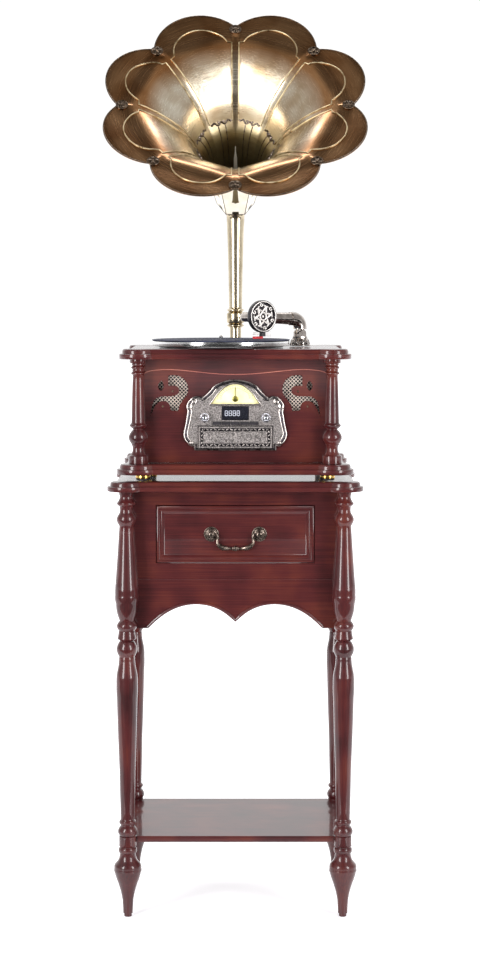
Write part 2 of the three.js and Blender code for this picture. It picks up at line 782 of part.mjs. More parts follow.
function addPlayerCase(cabinet) {
  const base = mouldedBoard(columnX, columnY, BASE_EAR, baseFoot, PLAYER_BOARD);
  const blockLeft = SPARE_BLOCK_X - SPARE_BLOCK_WIDTH / 2;
  const blockRight = SPARE_BLOCK_X + SPARE_BLOCK_WIDTH / 2;
  const block = box(blockLeft, blockRight, -8, 8, standTop + FIT, baseFoot + 1);
  add(cabinet, "player_base_board", joined(base, block), MAHOGANY);
  const top = mouldedBoard(columnX, columnY, TOP_EAR, caseTop, PLAYER_BOARD);
  const motorHole = new THREE.CylinderGeometry(1, 1, 3 * PLAYER_BOARD, 16).rotateX(Math.PI / 2);
  motorHole.scale(MOTOR_RADIUS + 1, MOTOR_RADIUS + 1, 1);
  motorHole.translate(PLATTER_X, PLATTER_Y, caseTop);
  add(cabinet, "player_top_board", cut(top, motorHole), MAHOGANY);

  CORNERS.forEach(([where, sx, sy]) => {
    const column = turned(columnProfile(), COLUMN_SIDES);
    add(cabinet, `column_${where}`, column, MAHOGANY, sx * columnX, sy * columnY, caseFoot);
    const foot = turned(
      [
        [0, 0],
        [FOOT_RADIUS - 1.5, 0],
        [FOOT_RADIUS - 0.5, 3],
        [FOOT_RADIUS, 4],
        [FOOT_RADIUS, FOOT_HEIGHT],
        [0, FOOT_HEIGHT],
      ],
      10,
    );
    const footX = sx * (columnX - FOOT_INSET);
    add(cabinet, `foot_${where}`, foot, FOOT_GOLD, footX, sy * columnY, standTop);
  });

  const frontShape = rectangle(-playerHalfX, playerHalfX, caseFoot, caseTop);
  frontShape.holes.push(radioOpening());
  [-1, 1].forEach((side) => frontShape.holes.push(fretScroll(side), fretLeaf(side)));
  const front = upright(frontShape, panelFace, panelFace + CASE_PANEL, 4);
  add(cabinet, "front_panel", front, MAHOGANY);
  const sideFront = panelFace + CASE_PANEL;
  [["left", -1], ["right", 1]].forEach(([where, side]) => {
    const outer = side * playerHalfX;
    const inner = side * (playerHalfX - CASE_PANEL);
    const [x0, x1] = [Math.min(outer, inner), Math.max(outer, inner)];
    const panel = box(x0, x1, sideFront, playerHalfY, caseFoot, caseTop);
    add(cabinet, `case_side_${where}`, panel, MAHOGANY);
  });
  const backHalf = playerHalfX - CASE_PANEL;
  const back = box(-backHalf, backHalf, playerHalfY - BACK_BOARD, playerHalfY, caseFoot, caseTop);
  add(cabinet, "back_panel", back, DARK_PLASTIC);
}

// ---------------------------------------------------------------- speakers
function speaker() {
  const r = SPEAKER_RADIUS;
  const d = SPEAKER_DEPTH;
  return turnedForward(
    [
      [0, -d],
      [r * 0.5, -d],
      [r * 0.5, -d + 12],
      [r * 0.62, -d + 14],
      [r * 0.95, -4],
      [r, -4],
      [r, 0],
      [r * 0.86, 0],
      [r * 0.8, -2],
      [r * 0.3, -14],
      [0, -10],
    ],
    14,
  );
}

function addSpeakers(cabinet) {
  const meshFront = panelFace + CASE_PANEL;
  [["left", -1], ["right", 1]].forEach(([where, side]) => {
    const x = side * SPEAKER_X;
    const z = caseTop - SPEAKER_DROP;
    const reach = SPEAKER_RADIUS + 1;
    const sheet = box(x - reach, x + reach, meshFront, meshFront + MESH_SHEET, z - reach, z + reach);
    add(cabinet, `grille_mesh_${where}`, sheet, BRONZE);
    const back = meshFront + MESH_SHEET;
    add(cabinet, `speaker_${where}`, speaker(), PAPER_CONE, x, back, z);
  });
}

// ---------------------------------------------------------------- radio front
const bezelFace = panelFace - BEZEL_THICK;

// The plate's outline: an arch on two shoulders, scrolled ears, bellied sides, a foot.
// Each stretch of a side is a curve: the point that bends it, and where it ends.
function bezelOutline() {
  const stretch = BEZEL_HEIGHT / BEZEL_DRAWN_HEIGHT;
  const z = (height) => caseFoot + BEZEL_FOOT + height * stretch;
  const right = [
    [86, 4, 90.5, 13],
    [BEZEL_WAIST_HALF, 20, BEZEL_WAIST_HALF, 31],
    [93, 58, 91, 76],
    [98, 88, 82, 101],
    [74, 106, 66, 98],
    [48, 112, 42, 122],
    [24, BEZEL_DRAWN_HEIGHT, 0, BEZEL_DRAWN_HEIGHT],
  ];
  const shape = new THREE.Shape();
  shape.moveTo(-BEZEL_FOOT_HALF, z(0));
  shape.lineTo(BEZEL_FOOT_HALF, z(0));
  shape.lineTo(BEZEL_FOOT_HALF, z(BEZEL_STEP));
  right.forEach(([bendX, bendUp, x, up]) => {
    shape.quadraticCurveTo(bendX, z(bendUp), x, z(up));
  });
  right.reverse().forEach(([bendX, bendUp], i) => {
    const [, , x, up] = right[i + 1] ?? [0, 0, BEZEL_FOOT_HALF, BEZEL_STEP];
    shape.quadraticCurveTo(-bendX, z(bendUp), -x, z(up));
  });
  shape.closePath();
  return shape;
}

function dialWindow(margin) {
  const foot = caseFoot + DIAL_FOOT - margin;
  const top = caseFoot + DIAL_FOOT + DIAL_HEIGHT + margin;
  const half = DIAL_HALF + margin;
  const shape = new THREE.Path();
  shape.moveTo(-half, foot);
  shape.lineTo(half, foot);
  shape.quadraticCurveTo(half * 0.82, foot + 10, half * 0.76, foot + 18);
  shape.quadraticCurveTo(half * 0.45, top, 0, top);
  shape.quadraticCurveTo(-half * 0.45, top, -half * 0.76, foot + 18);
  shape.quadraticCurveTo(-half * 0.82, foot + 10, -half, foot);
  return shape;
}

function buttonX(i) {
  return (i - (BUTTON_COUNT - 1) / 2) * BUTTON_PITCH;
}

function bezel() {
  const gap = FIT + 0.1;
  const window = (x0, x1, z0, z1) => rectangle(x0 - gap, x1 + gap, z0 - gap, z1 + gap);
  const displayFoot = caseFoot + DISPLAY_FOOT;
  const trayFoot = caseFoot + TRAY_FOOT;
  const openings = [
    new THREE.Shape(dialWindow(0).getPoints(5)),
    window(-DISPLAY_HALF, DISPLAY_HALF, displayFoot, displayFoot + DISPLAY_HEIGHT),
    window(-TRAY_HALF, TRAY_HALF, trayFoot, trayFoot + TRAY_HEIGHT),
  ];
  for (let i = 0; i < BUTTON_COUNT; i += 1) {
    const left = buttonX(i) - BUTTON_WIDTH / 2;
    const foot = caseFoot + BUTTON_FOOT;
    openings.push(window(left, left + BUTTON_WIDTH, foot, foot + BUTTON_HEIGHT));
  }
  [-1, 1].forEach((side) => {
    openings.push(disc(side * KNOB_X, caseFoot + KNOB_Z, KNOB_SHAFT + gap, 10));
  });
  const tools = openings.map((shape) => upright(shape, bezelFace - 1, panelFace + 1));
  return cut(upright(bezelOutline(), bezelFace, panelFace, 4), ...tools);
}

// A ball knob on its shaft, over a raised collar ring that turns with it.
function knob() {
  const back = -BEZEL_THICK - 16;
  return turnedForward(
    [
      [0, back],
      [KNOB_SHAFT, back],
      [KNOB_SHAFT, FIT],
      [KNOB_COLLAR, FIT],
      [KNOB_COLLAR, 1.8],
      [KNOB_RADIUS * 0.75, 2.2],
      ...bead(3.2, 3.2 + 2 * KNOB_RADIUS, 2.5, KNOB_RADIUS, 5),
      [0, 3.6 + 2 * KNOB_RADIUS],
    ],
    10,
  );
}

function radioButton() {
  const half = BUTTON_WIDTH / 2;
  const rear = BUTTON_FLANGE;
  const cap = box(-half, half, -BUTTON_PROUD, BEZEL_THICK + 1, 0, BUTTON_HEIGHT);
  const flangeFront = BEZEL_THICK + FIT;
  const flange = box(-half, half, flangeFront, flangeFront + 3, -rear, BUTTON_HEIGHT + rear);
  return joined(cap, flange);
}

// The tray's moulded front, and the plate behind it with the round seat for a disc.
function discTray() {
  const face = bezelFace - TRAY_PROUD;
  const foot = caseFoot + TRAY_FOOT;
  const front = workedPanel(TRAY_HALF, foot, foot + TRAY_HEIGHT, bezelFace + 5, face, [
    [0, -2],
    [1, 0],
    [3, 0],
    [4, -1.2],
    [9, -1.2],
    [10, 0],
    [11, 0],
    [12, -1.2],
  ]);
  const middle = foot + TRAY_HEIGHT / 2;
  const back = bezelFace + 4 + TRAY_LENGTH;
  const half = TRAY_PLATE_HALF;
  const plate = box(-half, half, bezelFace + 4, back, middle - TRAY_PLATE / 2, middle + TRAY_PLATE / 2);
  const seat = new THREE.CylinderGeometry(1, 1, TRAY_PLATE, 28).rotateX(Math.PI / 2);
  seat.scale(DISC_RADIUS, DISC_RADIUS, 1);
  seat.translate(0, back - DISC_RADIUS - 5, middle + TRAY_PLATE - 2.5);
  return cut(joined(front, plate), seat);
}

function discDrive() {
  const gap = 0.5;
  const middle = caseFoot + TRAY_FOOT + TRAY_HEIGHT / 2;
  const half = TRAY_PLATE_HALF + gap + DRIVE_WALL;
  const front = panelFace + CASE_PANEL;
  const back = bezelFace + 4 + TRAY_LENGTH + 6;
  const body = box(-half, half, front, back, caseFoot, middle + TRAY_PLATE / 2 + gap + DRIVE_WALL);
  const slotHalf = TRAY_PLATE_HALF + gap;
  const low = middle - TRAY_PLATE / 2 - gap;
  const slot = box(-slotHalf, slotHalf, front - 1, back - 3, low, low + TRAY_PLATE + 2 * gap);
  return cut(body, slot);
}

function dialPointer() {
  const face = BEZEL_THICK - 3;
  const hub = turnedForward(
    [
      [0, -BEZEL_THICK - DIAL_CARD - 8],
      [1.4, -BEZEL_THICK - DIAL_CARD - 8],
      [1.4, -BEZEL_THICK + FIT],
      [POINTER_HUB, -BEZEL_THICK + FIT],
      [POINTER_HUB, -face],
      [0, -face],
    ],
    12,
  );
  const needle = box(-0.7, 0.7, face + 0.6, face + 1.6, 2, POINTER_LENGTH);
  return joined(hub, needle);
}

function dialCard() {
  const half = DIAL_HALF + 2.5;
  const foot = caseFoot + DIAL_FOOT;
  const shape = new THREE.Shape();
  shape.moveTo(-half, foot - 2.5);
  shape.lineTo(half, foot - 2.5);
  shape.lineTo(half, foot + 20);
  shape.lineTo(DIAL_HALF - 17, foot + DIAL_HEIGHT);
  shape.lineTo(-DIAL_HALF + 17, foot + DIAL_HEIGHT);
  shape.lineTo(-half, foot + 20);
  shape.closePath();
  shape.holes.push(disc(0, foot + POINTER_RISE, 1.4 + FIT, 8));
  return upright(shape, panelFace, panelFace + DIAL_CARD, 3);
}

function displayWindow() {
  const foot = caseFoot + DISPLAY_FOOT;
  const top = foot + DISPLAY_HEIGHT;
  const half = DISPLAY_HALF;
  const pane = box(-half, half, bezelFace + 1.5, panelFace + 1, foot, top);
  const flange = box(-half - 2, half + 2, panelFace, panelFace + 6, foot - 2, top + 2);
  return joined(pane, flange);
}

// A power transformer on the board that feeds radio, drive and speakers.
function amplifierBoard() {
  const x0 = -60;
  const y0 = bezelFace + TRAY_LENGTH + 16;
  const y1 = playerHalfY - BACK_BOARD - 4;
  const board = box(x0, -x0, y0, y1, caseFoot + 5, caseFoot + 7);
  const transformer = box(x0 + 8, x0 + 52, y0 + 8, y1 - 6, caseFoot + 6, caseFoot + 46);
  const heatSink = box(-x0 - 40, -x0 - 6, y1 - 16, y1 - 6, caseFoot + 6, caseFoot + 38);
  const posts = [];
  [x0 + 2, -x0 - 8].forEach((x) => {
    [y0 + 1, y1 - 7].forEach((y) => {
      posts.push(box(x, x + 6, y, y + 6, caseFoot, caseFoot + 6));
    });
  });
  return joined(board, transformer, heatSink, ...posts);
}

function addRadio(cabinet) {
  add(cabinet, "radio_bezel", bezel(), PEWTER);
  add(cabinet, "dial_card", dialCard(), DIAL_CREAM);
  const pointerZ = caseFoot + DIAL_FOOT + POINTER_RISE;
  add(cabinet, "dial_pointer", dialPointer(), OLIVE, 0, bezelFace, pointerZ);
  add(cabinet, "display_window", displayWindow(), DARK_GLASS);
  add(cabinet, "volume_knob", knob(), CHROME, -KNOB_X, bezelFace, caseFoot + KNOB_Z);
  add(cabinet, "tuning_knob", knob(), CHROME, KNOB_X, bezelFace, caseFoot + KNOB_Z);
  for (let i = 0; i < BUTTON_COUNT; i += 1) {
    const z = caseFoot + BUTTON_FOOT;
    add(cabinet, `radio_button_${i + 1}`, radioButton(), DARK_PLASTIC, buttonX(i), bezelFace, z);
  }
  add(cabinet, "disc_tray", discTray(), PEWTER);
  add(cabinet, "disc_drive", discDrive(), STEEL);
  add(cabinet, "amplifier_board", amplifierBoard(), BOARD_GREEN);
}

// ---------------------------------------------------------------- turntable
function addTurntable(cabinet) {
  const plateShape = disc(0, 0, DECK_RADIUS, 24);
  plateShape.holes.push(disc(0, 0, SPINDLE_RADIUS + 0.5, 10));
  const plate = slab(plateShape, deck, deck + DECK_PLATE);
  add(cabinet, "deck_plate", plate, DARK_PLASTIC, PLATTER_X, PLATTER_Y);

  const bore = SPINDLE_RADIUS + FIT;
  const motor = turned(
    [
      [0, -MOTOR_DEPTH],
      [MOTOR_RADIUS * 0.8, -MOTOR_DEPTH],
      [MOTOR_RADIUS, -MOTOR_DEPTH + 4],
      [MOTOR_RADIUS, 0],
      [bore, 0],
      [bore, -MOTOR_DEPTH + 6],
      [0, -MOTOR_DEPTH + 6],
    ],
    16,
  );
  add(cabinet, "platter_motor", motor, STEEL, PLATTER_X, PLATTER_Y, deck);

  const foot = DECK_PLATE + PLATTER_GAP;
  const top = foot + PLATTER_THICK;
  const edge = PLATTER_RADIUS;
  const platter = turned(
    [
      [0, -MOTOR_DEPTH + 7],
      [SPINDLE_RADIUS, -MOTOR_DEPTH + 7],
      [SPINDLE_RADIUS, foot],
      [PLATTER_HUB, foot],
      [PLATTER_HUB, top - PLATTER_SKIN],
      [edge - 7, top - PLATTER_SKIN],
      [edge - 7, foot],
      [edge - 1, foot + 1.5],
      [edge, foot + 3.5],
      [edge, top - 3],
      [edge - 1.5, top],
      [SPINDLE_RADIUS + 0.5, top],
      [SPINDLE_RADIUS + 0.5, top + SPINDLE_RISE - 3],
      [1.6, top + SPINDLE_RISE],
      [0, top + SPINDLE_RISE],
    ],
    PLATTER_SIDES,
  );
  add(cabinet, "platter", platter, CHROME, PLATTER_X, PLATTER_Y, deck);
  const hole = SPINDLE_RADIUS + 0.5 + FIT;
  const mat = turned(
    [
      [hole, top],
      [MAT_RADIUS, top],
      [MAT_RADIUS, top + MAT_THICK * 0.6],
      [MAT_RADIUS - 2, top + MAT_THICK],
      [hole, top + MAT_THICK],
      [hole, top],
    ],
    PLATTER_SIDES,
  );
  add(cabinet, "platter_mat", mat, MAT_RUBBER, PLATTER_X, PLATTER_Y, deck);
}

// ---------------------------------------------------------------- tone arm
// A cheek or tongue seen from the side, round about the lift pivot.
function pivotLug(radius, end) {
  const shape = new THREE.Shape();
  const down = end < 0;
  shape.moveTo(-radius, end);
  shape.lineTo(-radius, 0);
  shape.absarc(0, 0, radius, Math.PI, 0, down);
  shape.lineTo(radius, end);
  shape.closePath();
  return shape;
}

function armYoke() {
  const plateFoot = ARM_BASE_HEIGHT + FIT;
  const plateTop = plateFoot + YOKE_PLATE;
  const plate = turned(
    [
      [0, SPINDLE_SEAT + FIT],
      [YOKE_SPINDLE, SPINDLE_SEAT + FIT],
      [YOKE_SPINDLE, plateFoot],
      [YOKE_RADIUS, plateFoot],
      [YOKE_RADIUS, plateTop],
      [0, plateTop],
    ],
    14,
  );
  const inner = ARM_TONGUE / 2 + FIT;
  const lug = pivotLug(ARM_CHEEK_RADIUS, plateTop - ARM_HINGE_Z - 0.5);
  const far = upright(lug, inner, inner + ARM_CHEEK, 4).translate(0, 0, ARM_HINGE_Z);
  const near = upright(lug, -inner - ARM_CHEEK, -inner, 4).translate(0, 0, ARM_HINGE_Z);
  return joined(plate, far, near);
}

// Elbow, sleeve, tapered arm and gooseneck in one, with the tongue of the lift pivot.
function armTube() {
  const start = ARM_HINGE_Z + ARM_CHEEK_RADIUS + 1;
  const end = GOOSENECK - SOUND_BOX_THICK / 2 - FIT;
  const high = ARM_AXIS_Z + ARM_RISE;
  const corners = [
    new THREE.Vector3(0, 0, start),
    new THREE.Vector3(0, 0, ARM_AXIS_Z),
    new THREE.Vector3(ARM_REACH, 0, high),
    new THREE.Vector3(ARM_REACH, end, high),
  ];
  const points = roundedRoute(corners, ARM_BEND);
  const sleeve = points.findIndex((point) => point.x > ARM_SLEEVE);
  const sleeveZ = ARM_AXIS_Z + (ARM_RISE * ARM_SLEEVE) / ARM_REACH;
  points.splice(sleeve, 0, new THREE.Vector3(ARM_SLEEVE - 1, 0, sleeveZ));
  points.splice(sleeve + 1, 0, new THREE.Vector3(ARM_SLEEVE, 0, sleeveZ));
  const radii = points.map((point, i) => {
    if (i <= sleeve) {
      return ARM_ELBOW_RADIUS;
    }
    return ARM_TUBE_RADIUS - (ARM_TAPER * Math.min(point.x, ARM_REACH)) / ARM_REACH;
  });
  const tube = skin(pipeRings(points, radii, 12));
  const half = ARM_TONGUE / 2;
  const lug = pivotLug(ARM_CHEEK_RADIUS - 1, start - ARM_HINGE_Z + 3);
  const tongue = upright(lug, -half, half, 4).translate(0, 0, ARM_HINGE_Z);
  return joined(tube, tongue);
}

// The round, pierced-looking sound box, turned about +Y.
function soundBox() {
  const r = SOUND_BOX_RADIUS;
  const half = SOUND_BOX_THICK / 2;
  return lathe(
    [
      [0, -half],
      [r - 4, -half],
      [r, -half + 4],
      [r, half - 3],
      [r - 1.5, half - 1],
      [r - 4, half - 1],
      [r - 5, half - 4],
      [10, half - 4],
      [8, half],
      [5.5, half],
      [4, half - 2.5],
      [0, half - 2.5],
    ],
    20,
  );
}

// The cartridge body, saddled to the sound box, with the stylus carrier below.
function cartridge() {
  const half = CARTRIDGE_WIDTH / 2;
  const deep = CARTRIDGE_DEPTH / 2;
  const r = SOUND_BOX_RADIUS;
  const foot = -r - CARTRIDGE_DROP;
  const body = box(-half, half, -deep, deep, foot + 4.5, -r + 5);
  const saddle = new THREE.CylinderGeometry(r + FIT, r + FIT, 2 * CARTRIDGE_DEPTH, 40);
  const carrier = box(0, half, -deep + 1, deep - 1, foot, foot + 5);
  return joined(cut(body, saddle), carrier);
}

function addToneArm(cabinet) {
  const arm = new THREE.Group();
  arm.position.set(ARM_X, ARM_Y, deck);
  arm.rotation.z = THREE.MathUtils.degToRad(ARM_TURN);
  cabinet.add(arm);
  const base = turned(
    [
      [0, 0],
      [ARM_BASE_RADIUS, 0],
      [ARM_BASE_RADIUS, 3],
      [ARM_BASE_RADIUS - 4, 6],
      [ARM_BASE_RADIUS - 5, 12],
      [YOKE_RADIUS, ARM_BASE_HEIGHT],
      [YOKE_SPINDLE + FIT, ARM_BASE_HEIGHT],
      [YOKE_SPINDLE + FIT, SPINDLE_SEAT],
      [0, SPINDLE_SEAT],
    ],
    16,
  );
  add(arm, "arm_base", base, NICKEL);
  add(arm, "arm_yoke", armYoke(), NICKEL);
  add(arm, "arm_tube", armTube(), NICKEL);
  const boxZ = ARM_AXIS_Z + ARM_RISE + SOUND_BOX_LIFT;
  add(arm, "sound_box", soundBox(), NICKEL, ARM_REACH, GOOSENECK, boxZ);
  add(arm, "cartridge", cartridge(), DARK_PLASTIC, ARM_REACH, GOOSENECK, boxZ);
}

// ---------------------------------------------------------------- horn
const hornTilt = THREE.MathUtils.degToRad(HORN_TILT);
const petalAngle = (2 * Math.PI) / HORN_PETALS;
const notchRadius = rimRadius(petalAngle / 2);

// Distance from the horn's axis to the rim, at an angle from a petal's middle line.
function rimRadius(angle) {
  const across = PETAL_CENTRE * Math.sin(angle);
  return PETAL_CENTRE * Math.cos(angle) + Math.sqrt(PETAL_RADIUS ** 2 - across ** 2);
}

// Depth behind the mouth at a radius on the horn's inner face.
function hornDepth(radius) {
  const last = HORN_PROFILE.length - 1;
  let i = 1;
  while (i < last && HORN_PROFILE[i][0] < radius) {
    i += 1;
  }
  const [r0, d0] = HORN_PROFILE[i - 1];
  const [r1, d1] = HORN_PROFILE[i];
  return d0 + ((d1 - d0) * (radius - r0)) / (r1 - r0);
}

// One ring of the horn. Its petals grow from none at the throat to full at the rim; the
// outer face lies one wall thickness behind the inner one.
function hornRing(station, wall) {
  const base = HORN_PROFILE[station][0];
  const plain = HORN_PROFILE[1][0];
  const share = Math.max(0, (base - plain) / (notchRadius - plain));
  const growth = Math.min(1, share ** PETAL_GROWTH);
  const flatness = PETAL_FLATNESS * Math.sqrt(Math.max(0, Math.sin(Math.PI * share)));
  const ring = [];
  for (let i = 0; i < HORN_PETALS * PETAL_STEPS; i += 1) {
    const fromMiddle = ((i % PETAL_STEPS) / PETAL_STEPS - 0.5) * petalAngle;
    const lobe = rimRadius(fromMiddle) / notchRadius - 1;
    const radius = base * (1 + lobe * growth);
    const level = radius / (1 - flatness * (1 - ((2 * fromMiddle) / petalAngle) ** 2));
    const slope = (hornDepth(level + 2) - hornDepth(level - 2)) / 4;
    const length = Math.hypot(1, slope);
    const r = radius - (wall * slope) / length;
    const depth = hornDepth(level) + wall / length;
    const angle = (i * petalAngle) / PETAL_STEPS;
    ring.push(new THREE.Vector3(r * Math.cos(angle), r * Math.sin(angle), -depth));
  }
  return ring;
}

// The bell: eight petals from a round throat, as one shell open at both ends.
function hornBell() {
  const outer = [];
  const inner = [];
  for (let station = 0; station < HORN_PROFILE.length - 1; station += 1) {
    outer.push(hornRing(station, HORN_WALL));
    inner.unshift(hornRing(station, 0));
  }
  return skin([...outer, ...inner], true);
}

// The pipe that holds the bell: a spigot, a tapered pipe and a flared bend.
function hornNeck(mouthY) {
  const spigotFoot = COLLAR_TOP - SPIGOT_LENGTH;
  const shoulder = COLLAR_TOP + FIT;
  const axis = new THREE.Vector3(0, -Math.sin(hornTilt), Math.cos(hornTilt));
  const mouth = new THREE.Vector3(0, mouthY - NECK_Y, HORN_MOUTH_RISE);
  const meetZ = HORN_MOUTH_RISE - HORN_BEND_DEPTH * Math.cos(hornTilt);
  const lead = NECK_BEND * Math.tan(hornTilt / 2);
  const points = [
    [spigotFoot, SPIGOT_RADIUS],
    [COLLAR_TOP, SPIGOT_RADIUS],
    [shoulder, NECK_FOOT_RADIUS],
    [meetZ - lead - 12, NECK_HEAD_RADIUS],
  ].map(([z, radius]) => [new THREE.Vector3(0, 0, z), radius]);
  const bendStart = new THREE.Vector3(0, 0, meetZ - lead);
  const corner = new THREE.Vector3(0, 0, meetZ);
  const bendEnd = corner.clone().addScaledVector(axis, lead);
  const bend = new THREE.QuadraticBezierCurve3(bendStart, corner, bendEnd).getPoints(4);
  const bendRadii = [18, 19.5, 21, 23.5, 29.5];
  bend.forEach((point, i) => points.push([point, bendRadii[i]]));
  const tip = mouth.clone().addScaledVector(axis, -HORN_NECK_DEPTH);
  points.push([tip, HORN_PROFILE[1][0] - FIT - 0.2]);
  const route = points.map(([point]) => point);
  const outer = pipeRings(route, points.map(([, radius]) => radius), 14);
  const inner = pipeRings(route, points.map(([, radius]) => radius - NECK_WALL), 14);
  return skin([...outer, ...inner.reverse()], true);
}

// The post that stands on the deck, with its beaded collar and the neck's blind bore.
function hornSocket() {
  const bore = SPIGOT_RADIUS + FIT;
  return turned(
    [
      [0, 0],
      [SOCKET_FLANGE, 0],
      [SOCKET_FLANGE, 2],
      [SOCKET_PIPE_RADIUS + 3, 4],
      [SOCKET_PIPE_RADIUS, 7],
      [SOCKET_PIPE_RADIUS, COLLAR_FOOT - 1],
      ...bead(COLLAR_FOOT, COLLAR_FOOT + 7, 14, COLLAR_RADIUS),
      [16, COLLAR_FOOT + 8],
      [COLLAR_RADIUS, COLLAR_FOOT + 10],
      [COLLAR_RADIUS, COLLAR_TOP - 10],
      [16, COLLAR_TOP - 8],
      ...bead(COLLAR_TOP - 7, COLLAR_TOP, 14, COLLAR_RADIUS),
      [bore, COLLAR_TOP],
      [bore, COLLAR_TOP - SPIGOT_LENGTH - 1],
      [0, COLLAR_TOP - SPIGOT_LENGTH - 1],
    ],
    12,
  );
}

function addHorn(cabinet) {
  const mouthY = NECK_Y - HORN_BEND_DEPTH * Math.sin(hornTilt);
  add(cabinet, "horn_socket", hornSocket(), CHAMPAGNE, 0, NECK_Y, deck);
  add(cabinet, "horn_neck", hornNeck(mouthY), CHAMPAGNE, 0, NECK_Y, deck);
  const bell = add(cabinet, "horn_bell", hornBell(), ANTIQUE_BRASS);
  bell.rotation.x = hornTilt;
  bell.position.set(0, mouthY, deck + HORN_MOUTH_RISE);
}

// ---------------------------------------------------------------- the whole object
const cabinet = new THREE.Group();
addStand(cabinet);
addDrawer(cabinet);
addPlayerCase(cabinet);
addSpeakers(cabinet);
addRadio(cabinet);
addTurntable(cabinet);
addToneArm(cabinet);
addHorn(cabinet);

// The origin goes to the middle of the footprint, on the floor.
const bounds = new THREE.Box3().setFromObject(cabinet, true);
const middle = bounds.getCenter(new THREE.Vector3());
cabinet.position.set(-middle.x, -middle.y, -bounds.min.z);

export default cabinet;
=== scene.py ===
"""A gramophone cabinet: a turned-leg stand and a cased player with a petalled horn.

Everything is measured in millimetres in the cabinet's own frame (x to the right, y to the
back, z up) and turned to metres when a piece is finished.
"""

import logging
from dataclasses import dataclass
from enum import Enum
from math import acos, atan2, cos, hypot, pi, radians, sin, sqrt, tan, tau
from typing import Protocol

import bmesh
import bpy
from mathutils import Matrix, Vector
from mathutils.geometry import interpolate_bezier


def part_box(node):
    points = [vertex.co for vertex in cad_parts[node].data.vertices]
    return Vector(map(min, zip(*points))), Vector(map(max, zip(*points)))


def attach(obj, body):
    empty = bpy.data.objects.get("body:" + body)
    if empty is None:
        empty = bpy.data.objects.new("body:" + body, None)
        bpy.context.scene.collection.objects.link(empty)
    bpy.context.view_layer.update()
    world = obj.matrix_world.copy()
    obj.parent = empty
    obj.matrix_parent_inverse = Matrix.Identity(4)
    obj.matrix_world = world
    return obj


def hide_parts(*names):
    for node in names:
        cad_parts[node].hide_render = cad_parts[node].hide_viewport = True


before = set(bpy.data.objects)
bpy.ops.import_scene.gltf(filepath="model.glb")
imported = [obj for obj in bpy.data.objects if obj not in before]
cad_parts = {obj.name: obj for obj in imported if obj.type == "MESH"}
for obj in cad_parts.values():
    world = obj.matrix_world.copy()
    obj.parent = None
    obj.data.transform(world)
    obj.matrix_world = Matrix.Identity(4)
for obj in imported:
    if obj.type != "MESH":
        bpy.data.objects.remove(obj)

LOG = logging.getLogger("cabinet")
MM = 0.001
SMOOTH_ANGLE = radians(32)
MERGE_MM = 0.002
SLIVER_MM = 0.0005
RIGHT = Vector((1, 0, 0))
FRONT = Vector((0, -1, 0))
UP = Vector((0, 0, 1))
CORNERS = ("front_left", "front_right", "rear_left", "rear_right")
QUARTERS = ((1, 1), (-1, 1), (-1, -1), (1, -1))
SIDES = (("left", -1), ("right", 1))
Point = tuple[float, float, float]
Outline = list[tuple[float, float]]
Profile = list[tuple[float, ...]]
Stations = list[tuple[Vector, float]]
Mesh = bmesh.types.BMesh
Face = bmesh.types.BMFace
Vert = bmesh.types.BMVert
Material = bpy.types.Material
Node = bpy.types.Node
Socket = bpy.types.NodeSocket


class Axis(Enum):
    """A direction of the cabinet's frame."""

    X = (1.0, 0.0, 0.0)
    Y = (0.0, 1.0, 0.0)
    Z = (0.0, 0.0, 1.0)


# --- places in the frame
@dataclass(frozen=True)
class Extent:
    """The box of a part of the frame, in millimetres."""

    low: Vector
    high: Vector

    @property
    def middle(self) -> Vector:
        """The middle of the box."""
        return (self.low + self.high) / 2

    @property
    def foot(self) -> Vector:
        """The middle of the box's underside."""
        return Vector((self.middle.x, self.middle.y, self.low.z))

    @property
    def size(self) -> Vector:
        """The box's three sizes."""
        return self.high - self.low


def extent(node: str) -> Extent:
    """Finds the box of one node.

    Args:
        node: the node's name in the frame.

    Returns:
        Its box in millimetres.
    """
    low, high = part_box(node)
    return Extent(low / MM, high / MM)


# --- materials
def linear(colour: str) -> tuple[float, float, float, float]:
    """Turns an sRGB hex colour to linear.

    Args:
        colour: such as "#5a2226".

    Returns:
        Red, green, blue and an alpha of one.
    """
    shares = [int(colour[i:i + 2], 16) / 255 for i in (1, 3, 5)]
    red, green, blue = (c / 12.92 if c <= 0.04045 else ((c + 0.055) / 1.055) ** 2.4 for c in shares)
    return (red, green, blue, 1.0)


def add_node(tree: bpy.types.NodeTree, kind: str, inputs: dict | None = None, **settings: str) -> Node:
    """Adds a node with its settings, socket values and links.

    Args:
        tree: the node tree that it goes into.
        kind: the node's type.
        inputs: for each input by name or number, a value, or an output to link.
        settings: the node's own properties.

    Returns:
        The new node.
    """
    node = tree.nodes.new(kind)
    for key, value in settings.items():
        setattr(node, key, value)
    for key, value in (inputs or {}).items():
        if isinstance(value, Socket):
            tree.links.new(value, node.inputs[key])
        else:
            node.inputs[key].default_value = value
    return node


